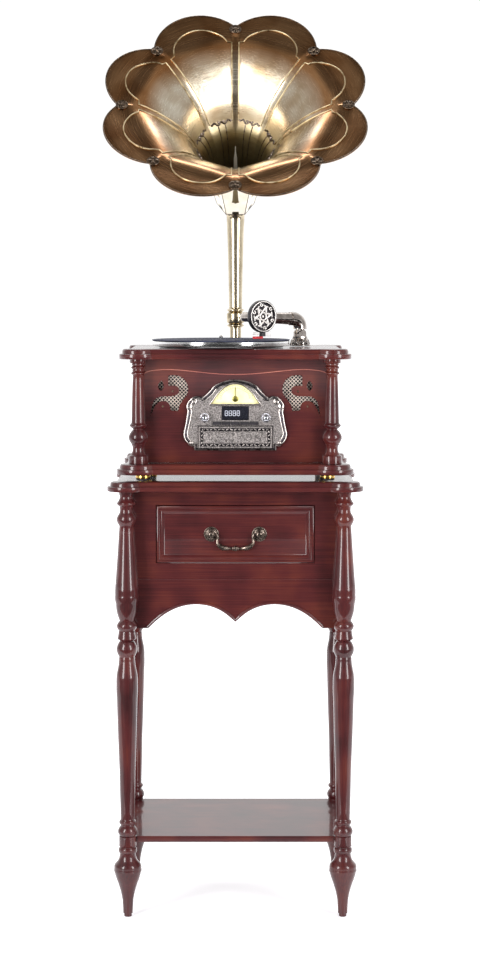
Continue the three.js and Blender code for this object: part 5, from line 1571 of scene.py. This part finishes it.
@dataclass
class ToneArm:
    """The gramophone-style tone arm: leafy base, elbow, sleeve, arm, gooseneck, sound box."""

    turn_degrees: float = -146.0
    axis_rise: float = 53.0
    reach: float = 140.0
    rise: float = 5.0
    gooseneck: float = 70.0
    bend: float = 19.0
    elbow_radius: float = 13.6
    arm_radius: float = 12.2
    taper: float = 2.8
    box_radius: float = 31.0
    box_lift: float = 2.0
    leaves: int = 6

    def __post_init__(self) -> None:
        """Finds the arm's own frame: x along the arm, y the way that the sound box faces."""
        base = extent("arm_base")
        self.foot = base.foot
        self.turned = Matrix.Rotation(radians(self.turn_degrees), 4, "Z")
        self.frame = Matrix.Translation(self.foot) @ self.turned
        self.out = (self.turned @ -FRONT).normalized()
        self.box_rise = self.axis_rise + self.rise + self.box_lift

    def at(self, x: float, y: float, z: float) -> Vector:
        """A place in the arm's frame, as a place in the cabinet's."""
        return self.frame @ Vector((x, y, z))

    def build(self) -> None:
        """Builds and dresses the tone arm."""
        self.build_base()
        self.build_tube()
        self.build_box()
        self.build_cartridge()
        dress(NICKEL, "arm_yoke")

    def build_base(self) -> None:
        """The base, ringed with cast leaves."""
        piece = Piece("leafed_arm_base", "cabinet", "nickel", "arm_base")
        profile = [(0, 0), (21, 0), (21, 1.6, 0.4), (19, 3.0, -0.3), (17.5, 5, -0.6), (16, 11.5, -0.6),
                   (15, 15, 0.5), (4.3, 15), (4.3, 3), (0, 3)]
        turn(piece.bm, profile, self.foot, UP, 40)
        for angle in around(10):
            spin = Matrix.Rotation(angle, 4, "Z")
            lean = spin @ Matrix.Rotation(radians(-18), 4, "Y")
            ball(piece.bm, self.foot + spin @ Vector((17.3, 0, 7.4)), (2.0, 4.0, 6.6), lean, 10)
            ball(piece.bm, self.foot + spin @ Vector((19.0, 3.2, 2.6)), (1.6, 1.6, 2.4), lean, 8)
        piece.done(DARK_NICKEL)

    def route(self) -> list[Vector]:
        """Finds the arm's middle line in its own frame."""
        high = self.axis_rise + self.rise
        corners = [Vector((0, 0, 33)), Vector((0, 0, self.axis_rise)), Vector((self.reach, 0, high)),
                   Vector((self.reach, self.gooseneck - 7.3, high))]
        points = [corners[0]]
        for before, corner, after in zip(corners, corners[1:], corners[2:]):
            first = corner + (before - corner).normalized() * self.bend
            last = corner + (after - corner).normalized() * self.bend
            points += interpolate_bezier(first, first.lerp(corner, 2 / 3), last.lerp(corner, 2 / 3), last, 10)
        points.append(corners[-1])
        return points

    def build_tube(self) -> None:
        """The elbow, its sleeve, the tapered arm and the gooseneck, with the pivot's tongue."""
        piece = Piece("nickel_arm_tube", "arm", "nickel", "arm_tube")
        points = self.route()
        sleeve = next(i for i, p in enumerate(points) if p.x > 25)
        slope = self.rise / self.reach
        end = [(22.0, self.elbow_radius), (24.2, self.elbow_radius), (25.0, 13.0), (25.2, self.arm_radius)]
        stations = [(point, self.elbow_radius) for point in points[:sleeve]]
        stations += [(Vector((place, 0, self.axis_rise + slope * place)), r) for place, r in end]
        stations += [(point, self.arm_radius - self.taper * min(point.x, self.reach) / self.reach)
                     for point in points[sleeve:]]
        swept(piece.bm, [(self.at(*point), r) for point, r in stations], 5)
        tongue = block(piece.bm, (-6, -6.5, 23), (6, 6.5, 35), self.frame)
        edges = list({e for v in tongue for e in v.link_edges})
        bmesh.ops.bevel(piece.bm, geom=edges, offset=1.5, segments=3, profile=0.5, affect="EDGES",
                        material=-1)
        pin = [(0, 0), (2.4, 0), (2.4, 5.4), (0, 5.4)]
        for _, side in SIDES:
            turn(piece.bm, pin, self.at(0, side * 6.5, 25), self.out * side, 16)
        piece.done(NICKEL)

    def build_box(self) -> None:
        """The sound box: a dished ring round a rosette of scrolled leaves."""
        piece = Piece("rosette_sound_box", "arm", "nickel", "sound_box")
        centre = self.at(self.reach, self.gooseneck, self.box_rise)
        out = self.out
        r = self.box_radius
        profile = [(0, -7), (r - 4, -7), (r, -3, 0.8), (r, 4), (r - 1.2, 6, 0.4), (r - 3.4, 6.4, 0.4),
                   (r - 4.6, 5, 0.2), (r - 5, 2.6), (0, 2.6)]
        turn(piece.bm, profile, centre, out, 64)
        piece.done(PATINA)
        relief = Piece("sound_box_leaves", "arm", "nickel")
        side = out.orthogonal().normalized()
        other = out.cross(side)

        def on_face(radius: float, angle: float) -> Vector:
            """A place on the sound box's middle plane."""
            return centre + side * (radius * cos(angle)) + other * (radius * sin(angle))

        for ring, lift, radius, count in ((7.2, 4.6, 1.6, 24), (r - 2.6, 5.6, 1.2, 48)):
            tube(relief.bm, circle(centre + out * lift, side, other, ring, count), radius, 2, closed=True)
        ball(relief.bm, centre + out * 3.6, (2.6, 2.6, 2.6))
        for base in around(self.leaves):
            for way in (1, -1):
                edge = []
                for i in range(15):
                    share = i / 14
                    angle = base + way * (0.46 * sin(pi * share * 0.9) + 0.12 * share)
                    place = on_face(9 + 16.5 * share - 4.2 * share ** 3, angle) + out * 4.2
                    edge.append((place, 1.0 + 1.5 * sin(pi * share)))
                swept(relief.bm, edge, 2)
            turns = (t * 0.5 for t in range(12))
            curl = [on_face(22.5 + 2.6 * cos(t), base + 0.12 * sin(t)) + out * 4.6 for t in turns]
            tube(relief.bm, curl, 1.2, 2)
        relief.done(RELIEF)

    def build_cartridge(self) -> None:
        """The cartridge: milky saddle, dark pillar and the red stylus carrier."""
        x, y = self.reach, self.gooseneck
        top = self.box_rise - self.box_radius
        foot = extent("cartridge").low.z - self.foot.z
        saddle = Piece("cartridge_saddle", "arm", "dark_plastic", "cartridge")
        block(saddle.bm, (x - 18.5, y - 5.5, top - 7.5), (x - 5, y + 5.5, top + 1.5), self.frame)
        block(saddle.bm, (x + 9, y - 5.5, top - 4.5), (x + 18.5, y + 5.5, top + 1.0), self.frame)
        saddle.done(CLEAR_PLASTIC, 0.8, 3)
        pillar = Piece("cartridge_pillar", "arm", "dark_plastic")
        block(pillar.bm, (x - 5.4, y - 5, foot + 4.6), (x + 3, y + 5, top + 0.4), self.frame)
        pillar.done(DARK_PLASTIC, 0.5)
        stylus = Piece("stylus_carrier", "arm", "dark_plastic")
        block(stylus.bm, (x + 0.2, y - 4.5, foot), (x + 18.9, y + 4.5, foot + 4.7), self.frame)
        stylus.done(RED_PLASTIC, 0.6)


@dataclass
class Horn:
    """The eight-petalled horn, its bent pipe and the beaded post that it stands in."""

    petals: int = 8
    flatness: float = 0.085
    petal_centre: float = 168.0
    petal_radius: float = 95.0
    tilt_degrees: float = 47.25
    bend_depth: float = 284.0
    mouth_rise: float = 462.0
    growth: float = 1.6
    wall: float = 1.1
    throat: float = 40.0
    bell_rings: int = 64
    steps_per_petal: int = 28
    rib_height: float = 2.0
    rib_width: float = 5.0
    rib_start: float = 60.0
    shoulder: float = 184.0
    socket_top: float = 73.3
    pipe_wall: float = 1.5
    lining_wall: float = 0.4
    collar_wall: float = 0.8
    zigzag: float = 5.0

    def __post_init__(self) -> None:
        """Finds the horn's axis and the middle of its mouth."""
        tilt = radians(self.tilt_degrees)
        self.axis = Vector((0, -sin(tilt), cos(tilt)))
        self.up = Vector((0, cos(tilt), sin(tilt)))
        self.post = extent("horn_socket").foot
        self.mouth = self.post + Vector((0, -self.bend_depth * sin(tilt), self.mouth_rise))
        self.profile = [(29.4, 287.0), (34.0, 262.0), (42.0, 212.0), (58.0, 140.0), (80.0, 106.0),
                        (102.0, 72.0), (132.0, 42.0), (161.0, 20.0), (193.0, 3.0), (225.2, 0.0),
                        (263.0, -7.0)]
        self.plain, self.tip_depth = self.profile[1]
        self.petal = tau / self.petals
        self.notch = self.rim(self.petal / 2)

    def rim(self, angle: float) -> float:
        """Finds the distance from the axis to the rim, at an angle from a petal's middle line."""
        across = self.petal_centre * sin(angle)
        return self.petal_centre * cos(angle) + sqrt(self.petal_radius ** 2 - across ** 2)

    def depth(self, radius: float) -> float:
        """Finds the depth behind the mouth at a radius, on a smooth line through the profile.

        Args:
            radius: distance from the axis.

        Returns:
            The depth.
        """
        points = self.profile
        last = len(points) - 1
        i = next((k for k in range(1, last) if points[k][0] >= radius), last)
        r0, d0 = points[i - 1]
        r1, d1 = points[i]
        rb, db = points[max(i - 2, 0)]
        ra, da = points[min(i + 1, last)]
        share = min(max((radius - r0) / (r1 - r0), 0.0), 1.2)
        run = r1 - r0
        slope0 = (d1 - db) / (r1 - rb) * run if r1 != rb else d1 - d0
        slope1 = (da - d0) / (ra - r0) * run if ra != r0 else d1 - d0
        h00 = 2 * share ** 3 - 3 * share ** 2 + 1
        h10 = share ** 3 - 2 * share ** 2 + share
        h01 = -2 * share ** 3 + 3 * share ** 2
        h11 = share ** 3 - share ** 2
        return h00 * d0 + h10 * slope0 + h01 * d1 + h11 * slope1

    def swell(self, base: float, angle: float) -> float:
        """Finds the radius of a ring of the bell at an angle.

        Args:
            base: the ring's radius at the seams.
            angle: round the axis, from a seam.

        Returns:
            Its radius there.
        """
        from_middle = (angle % self.petal) - self.petal / 2
        share = min(1.0, max(0.0, (base - self.plain) / (self.notch - self.plain)) ** self.growth)
        return base * (1 + (self.rim(from_middle) / self.notch - 1) * share)

    def at(self, radius: float, angle: float, lift: float = 0.0) -> Vector:
        """Finds a place on the inner face of the bell.

        Args:
            radius: distance from the axis.
            angle: round the axis, from the upper seam.
            lift: how far it stands in front of the face, along the axis.

        Returns:
            The place in the cabinet's frame.
        """
        off = 2 * (angle % self.petal) / self.petal - 1
        swollen = self.swell(self.notch, angle) / self.notch
        share = min(max((radius / swollen - self.plain) / (self.notch - self.plain), 0.0), 1.0)
        level = radius / (1 - self.flatness * sqrt(sin(pi * share)) * (1 - off * off))
        spoke = RIGHT * sin(angle) + self.up * cos(angle)
        return self.mouth + spoke * radius - self.axis * (self.depth(level) - lift)

    def build(self) -> None:
        """Builds and dresses the horn."""
        self.build_bell()
        self.build_lines()
        self.build_florets()
        self.build_neck()
        self.build_socket()

    def build_bell(self) -> None:
        """The bell: a spun shell whose rings are then drawn out into petals."""
        piece = Piece("petalled_horn", "horn", "antique_brass", "horn_bell")
        shares = [(i / self.bell_rings) ** 1.25 for i in range(self.bell_rings + 1)]
        bases = [self.throat + (self.notch - self.throat) * share for share in shares]
        tagged = piece.bm.verts.layers.float.new("base")
        verts = []
        for base in bases:
            vert = piece.bm.verts.new(self.mouth + self.up * base)
            vert[tagged] = base
            verts.append(vert)
        spin(piece.bm, verts, self.mouth, self.axis, self.petals * self.steps_per_petal)
        for vert in piece.bm.verts:
            spoke = vert.co - self.mouth
            angle = atan2(spoke.x, spoke.dot(self.up))
            base = vert[tagged] or spoke.length
            radius = self.swell(spoke.length, angle)
            vert.co = self.at(radius, angle, self.rib(base, angle))
        thicken(piece.bm, self.wall)
        piece.done(HornBrass("antiqued_brass_painted_shade_and_reflection", self.mouth, self.axis))

    def rib(self, base: float, angle: float) -> float:
        """Finds how far the seams' ribs stand out of the bell.

        Args:
            base: the ring's radius at the seams.
            angle: round the axis.

        Returns:
            The rise along the axis.
        """
        off = abs((angle + self.petal / 2) % self.petal - self.petal / 2) * base
        width = self.rib_width * min(1.0, base / 90)
        if off > width or base < self.rib_start:
            return 0.0
        fade = min(1.0, (base - self.rib_start) / 25, (self.notch - base) / 14 + 0.25)
        return self.rib_height * fade * cos(off / width * pi / 2)

    def panel(self, petal: int, inset: float, margin: float) -> list[Vector]:
        """Finds the embossed line that follows one petal inside its rim and seams.

        Args:
            petal: which petal.
            inset: how far inside the rim it runs.
            margin: how far beside the seams.

        Returns:
            Its points, from one lower corner round to the other.
        """
        low = 76.0
        top = self.petal_radius - inset
        corner = margin / self.shoulder
        points = []
        for i in range(25):
            radius = low + (self.shoulder - low) * i / 24
            points.append((radius, margin * min(1.0, 0.55 + radius / 260) / radius))
        for i in range(31):
            side = pi * 0.5 * (1 - i / 30) * 0.93
            x, y = self.petal_centre + top * cos(side), top * sin(side)
            radius = hypot(x, y)
            angle = self.petal / 2 - atan2(y, x)
            if radius > self.shoulder and angle > corner:
                points.append((radius, angle))
        full = points + [(r, self.petal - a) for r, a in reversed(points)]
        return [self.at(r, petal * self.petal + a, 0.8) for r, a in full]

    def build_lines(self) -> None:
        """The embossed lines, the scrolled crowns below them and the rolled rim."""
        lines = Piece("horn_embossing", "horn", "antique_brass")
        crowns = Piece("horn_crowns", "horn", "antique_brass")
        for petal in range(self.petals):
            tube(lines.bm, self.panel(petal, 39.0, 7.0), 1.3, 2)
            self.add_crown(crowns.bm, petal)
        # The raised lines are paler than the bell round them: a painted highlight.
        lines.done(LINE_PAINTED_HIGHLIGHT)
        crowns.done(BRONZE)
        rim = Piece("rolled_rim", "horn", "antique_brass")
        route = [self.at(self.swell(self.notch, angle) - 1.3, angle) for angle in around(self.petals * 40)]
        tube(rim.bm, route, 1.3, 2, closed=True)
        rim.done(DARK_BRONZE)

    def add_crown(self, bm: Mesh, petal: int) -> None:
        """Adds the scrolled crown below one petal's line, with its two stems and balls.

        Args:
            bm: where it goes.
            petal: which petal.
        """
        crown = []
        for i in range(33):
            share = i / 32
            wave = 76 - 5 * sin(pi * share) ** 0.5 + 3.2 * sin(3 * pi * share) ** 2
            crown.append(self.at(wave, (petal + 0.13 + 0.74 * share) * self.petal, 0.5))
        tube(bm, crown, 1.9, 2)
        for _, side in SIDES:
            stem = [(self.at(70 - 26 * i / 12, (petal + 0.5 + side * 0.14) * self.petal, 0.3), 1.1 - 0.06 * i)
                    for i in range(13)]
            swept(bm, stem, 1)
            ball(bm, self.at(74.5, (petal + 0.5 + side * 0.09) * self.petal, 0.6), (2.4, 2.4, 2.4), detail=8)

    def build_florets(self) -> None:
        """The floret boss at each notch of the rim."""
        piece = Piece("floret_bosses", "horn", "antique_brass")
        for seam in around(self.petals):
            centre = self.at(self.notch - 9.0, seam, 2.2)
            spoke = (self.at(self.notch - 8.0, seam) - self.at(self.notch - 10.0, seam)).normalized()
            across = spoke.cross(self.axis).normalized()
            out = across.cross(spoke).normalized()
            if out.dot(self.axis) < 0:
                out = -out
            disc = [(0, -1.8), (11, -1.8), (12, -0.6, 0.3), (11.4, 0.7, 0.3), (9.6, 0.2), (0, 0.2)]
            turn(piece.bm, disc, centre, out, 28)
            ball(piece.bm, centre + out * 0.8, (2.6, 2.6, 2.6), detail=10)
            for place in circle(centre + out * 0.5, spoke, across, 6.0, 4, 0.5):
                tube(piece.bm, circle(place, spoke, across, 3.2, 14), 1.15, 1, closed=True)
        piece.done(DARK_BRONZE)

    def build_neck(self) -> None:
        """The bent pipe, as a turned wall swept round the bend, with a flared end."""
        piece = Piece("horn_pipe", "horn", "champagne", "horn_neck")
        tilt = radians(self.tilt_degrees)
        meet = self.post + Vector((0, 0, self.mouth_rise - self.bend_depth * cos(tilt)))
        lead = 40 * tan(tilt / 2)
        foot = self.post.z + self.socket_top
        stations = [(foot, 13.1), (foot + 60, 14.2), (foot + 130, 16.0), (meet.z - lead - 12, 17.4)]
        route = [(Vector((self.post.x, self.post.y, z)), r) for z, r in stations]
        start = meet - UP * lead
        end = meet + self.axis * lead
        bend = interpolate_bezier(start, start.lerp(meet, 2 / 3), end.lerp(meet, 2 / 3), end, 9)
        route += [(point, 18 + 11.3 * (i / 8) ** 2.2) for i, point in enumerate(bend)]
        flare = [(p, r + 1.2) for p, r in route[-4:]]
        skirt = ((self.tip_depth, 34.6), (238, 39.4), (214, 44.6), (184, 50.8), (158, 57.2))
        self.build_collar(flare + self.on_axis(skirt))
        self.build_lining(route[2:])
        swept(piece.bm, route + self.on_axis([(self.tip_depth, 33.3)]), 7, capped=False)
        thicken(piece.bm, self.pipe_wall)
        plug = [(0, 39), (8.5, 39), (8.5, self.socket_top), (13.1, self.socket_top),
                (13.4, self.socket_top + 1.3, 0.3), (12.6, self.socket_top + 2.7), (0, self.socket_top + 2.7)]
        turn(piece.bm, plug, self.post, UP, 32)
        piece.done(CHAMPAGNE)

    def on_axis(self, stations: Profile) -> Stations:
        """Turns depths behind the mouth, each with a radius, into stations on the horn's axis."""
        return [(self.mouth - self.axis * depth, radius) for depth, radius in stations]

    def build_lining(self, route: Stations) -> None:
        """Builds the dark inner wall, painted shade, where the pipe widens into the bell.

        Args:
            route: the pipe's middle line in its bend, with its radius at each point.
        """
        # A dark sheet inside the pipe: painted shade.
        piece = Piece("throat_lining", "horn", "antique_brass")
        inner = [(place, radius - 2.0) for place, radius in route]
        deep = self.on_axis([(self.tip_depth, 33.4), (244, 35.9), (224, 39.4)])
        swept(piece.bm, inner + deep, 7, capped=False)
        thicken(piece.bm, self.lining_wall)
        piece.done(THROAT_PAINTED_SHADE)

    def build_collar(self, route: Stations) -> None:
        """Builds the eight-sided skirt with a zigzag edge that hugs the pipe's flared end.

        Args:
            route: the flared end's middle line, with the pipe's radius at each point.
        """
        piece = Piece("zigzag_collar", "horn", "champagne")
        corner = 1 / cos(self.petal / 2)
        swept(piece.bm, [(place, radius * corner) for place, radius in route], 1, capped=False)
        start, width = route[0]
        low = [e for e in piece.bm.edges if e.is_boundary and (e.verts[0].co - start).length < width * 1.4]
        made = bmesh.ops.subdivide_edges(piece.bm, edges=low, cuts=1)["geom_inner"]
        along = (route[1][0] - start).normalized()
        for vert in (g for g in made if isinstance(g, Vert)):
            vert.co += along * self.zigzag
        # Dark tubes: along the zigzag edge a painted shadow of the gap under it, and dark lines along the
        # folds.
        lines = Piece("collar_shadow_and_fold_lines", "horn", "champagne")
        for edge in piece.bm.edges:
            first, last = (v.co.copy() for v in edge.verts)
            if edge.is_boundary and (first - start).length < width * 1.6:
                tube(lines.bm, [first, last], 1.5, 1)
            elif not edge.is_boundary and edge.calc_face_angle(0.0) > SMOOTH_ANGLE:
                tube(lines.bm, [first, last], 0.75, 1)
        lines.done(DARK_BRONZE)
        bmesh.ops.triangulate(piece.bm, faces=[f for f in piece.bm.faces if len(f.verts) > 4])
        thicken(piece.bm, self.collar_wall)
        # Near-white brass on the collar: a painted reflection.
        piece.done(COLLAR_PAINTED_REFLECTION)

    def build_socket(self) -> None:
        """The post on the deck, with its flange and beaded collar."""
        piece = Piece("beaded_socket", "cabinet", "champagne", "horn_socket")
        profile = [(0, 0), (21.4, 0), (22, 0.8, 0.1), (21.2, 2, 0.2), (14.4, 4, -0.6), (12.2, 6, -0.4),
                   (11.4, 8), (11.4, 34), (13.2, 34.6), (13.2, 35), (13.2, 42, 4.2), (14.2, 43), (17.2, 44.4),
                   (17.8, 46), (17.8, 62), (17.2, 63.6), (14.2, 65), (13.2, 66), (13.2, 73, 4.2), (8.8, 73),
                   (8.8, 38), (0, 38)]
        turn(piece.bm, profile, self.post, UP, 44)
        piece.done(CHAMPAGNE)


@dataclass
class Studio:
    """The pale floor, the soft lights and the camera where the photographer stood."""

    camera: Point = (9.0, -4251.0, 1213.7)
    pitch_degrees: float = 5.04
    focal_px: float = 2180.0
    frame_height_px: float = 956.0
    sensor_mm: float = 36.0
    light_away: float = 3000.0
    light_height: float = 1500.0
    aim_height: float = 1000.0

    def build(self) -> None:
        """Sets up the camera, the floor, the lights and the surroundings."""
        scene = bpy.context.scene
        scene.view_settings.view_transform = "Standard"
        data = bpy.data.cameras.new("photographer")
        data.sensor_fit = "VERTICAL"
        data.sensor_height = self.sensor_mm
        data.lens = self.focal_px * self.sensor_mm / self.frame_height_px
        data.clip_end = 50
        made = bpy.data.objects.new("photographer", data)
        made.location = Vector(self.camera) * MM
        made.rotation_euler = (radians(90 - self.pitch_degrees), 0, 0)
        scene.collection.objects.link(made)
        scene.camera = made
        self.build_floor()
        self.build_card()
        self.build_lights()
        self.build_world()

    def lay_sheet(self, name: str, half_m: float, place: Point, made: Surface) -> bpy.types.Object:
        """Lays a square sheet that belongs to the studio.

        Args:
            name: its name.
            half_m: half its side in metres.
            place: its middle, in metres.
            made: its surface.

        Returns:
            The object.
        """
        bm = bmesh.new()
        bmesh.ops.create_grid(bm, x_segments=1, y_segments=1, size=half_m, matrix=Matrix.Translation(place))
        sheet = put_in_scene(name, bm)
        sheet.data.materials.append(made.material)
        return sheet

    def build_floor(self) -> None:
        """A wide pale floor."""
        made = Surface("pale_seamless_paper", Roughness=0.3, IOR=1.4, Emission_Color=linear("#fbfbff"))
        made.paint(made.marks(300, 2.0), (0.3, "#f4f4f6"), (0.7, "#f8f8fa"))
        # The paper is lit from behind as well, so it goes white a little way from the object.
        far = made.node("ShaderNodeVectorMath", {0: made.coords}, operation="LENGTH").outputs["Value"]
        sockets = {"Value": far, "From Min": 0.3, "From Max": 3.2, "To Min": 0.35, "To Max": 0.95}
        made.feed("Emission Strength", made.node("ShaderNodeMapRange", sockets).outputs["Result"])
        self.lay_sheet("floor", 30, (0, 0, 0), made)

    def build_card(self) -> None:
        """A black card before the object, which only its reflections see: lacquer stays deep."""
        made = Surface("black_card", Roughness=0.9)
        made.paint(made.marks(300, 2.0), (0.3, "#18181a"), (0.7, "#202022"))
        card = self.lay_sheet("black_card", 10, (0, -10.7, 0.002), made)
        card.visible_camera = card.visible_diffuse = card.visible_shadow = False

    def build_lights(self) -> None:
        """Two tall soft boxes either side of the camera and one overhead."""
        for name, azimuth, power in (("left_soft_box", -40, 82), ("right_soft_box", 44, 70)):
            turned = radians(azimuth)
            away = Vector((sin(turned), -cos(turned), 0)) * self.light_away
            self.add_light(name, away + UP * self.light_height, power, (0.8, 2.2))
        self.add_light("overhead_soft_box", Vector((0, 1500, 3300)), 40, (1.8, 1.2))

    def add_light(self, name: str, place: Vector, power: float, size: tuple[float, float]) -> None:
        """Adds a rectangular soft box that faces the object.

        Args:
            name: its name.
            place: where it stands.
            power: in watts.
            size: its width and height in metres.
        """
        data = bpy.data.lights.new(name, "AREA")
        data.shape = "RECTANGLE"
        data.size, data.size_y = size
        data.energy = power
        made = bpy.data.objects.new(name, data)
        made.location = place * MM
        made.rotation_euler = (UP * self.aim_height - place).to_track_quat("-Z", "Y").to_euler()
        bpy.context.scene.collection.objects.link(made)

    def build_world(self) -> None:
        """White behind the object, and a dimmer room in front for what the metal reflects."""
        world = bpy.data.worlds.new("studio")
        bpy.context.scene.world = world
        world.use_nodes = True
        tree = world.node_tree
        tree.nodes.clear()
        coords = add_node(tree, "ShaderNodeTexCoord").outputs["Generated"]
        parts = add_node(tree, "ShaderNodeSeparateXYZ", {0: coords})
        aside = add_node(tree, "ShaderNodeMath", {0: parts.outputs["X"]}, operation="ABSOLUTE")
        # Behind and beside the object the room is light; towards the camera it is dim.
        behind = {"Value": parts.outputs["Y"], "From Min": 0.15, "From Max": 0.7, "To Min": 0.1}
        beside = {"Value": aside.outputs[0], "From Min": 0.04, "From Max": 0.35, "To Max": 0.55}
        back, sides = (add_node(tree, "ShaderNodeMapRange", sockets) for sockets in (behind, beside))
        both = add_node(tree, "ShaderNodeMath", {0: back.outputs[0], 1: sides.outputs[0]}, operation="ADD")
        seen = add_node(tree, "ShaderNodeBackground", {"Color": (1, 1, 1, 1), "Strength": 1.05})
        felt = add_node(tree, "ShaderNodeBackground", {"Color": (1, 1, 1, 1), "Strength": both.outputs[0]})
        path = add_node(tree, "ShaderNodeLightPath")
        shares = {0: path.outputs["Is Camera Ray"], 1: felt.outputs[0], 2: seen.outputs[0]}
        mixed = add_node(tree, "ShaderNodeMixShader", shares)
        add_node(tree, "ShaderNodeOutputWorld", {"Surface": mixed.outputs[0]})


def main() -> None:
    """Builds the cabinet, sub-assembly by sub-assembly, and the studio round it."""
    logging.basicConfig(level=logging.INFO, format="%(message)s")
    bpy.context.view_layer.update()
    Studio().build()
    leg = extent("leg_front_left")
    rear = extent("leg_rear_left")
    column = extent("column_front_left")
    middle_y = (leg.middle.y + rear.middle.y) / 2
    stand_posts = Vector((-leg.middle.x, middle_y - leg.middle.y))
    player_posts = Vector((-column.middle.x, middle_y - column.middle.y))
    MouldedBoard("stand_top_board", stand_posts, middle_y).build()
    # The base board's node also holds the block under it, so its own thickness is given.
    MouldedBoard("player_base_board", player_posts, middle_y, thick=20.0).build()
    MouldedBoard("player_top_board", player_posts, middle_y).build()
    for part in (Stand(), Drawer(), PlayerCase(), RadioFront(), Turntable(), ToneArm(), Horn()):
        part.build()
    dress(CONE, "speaker_left", "speaker_right")


if __name__ == "__main__":
    main()
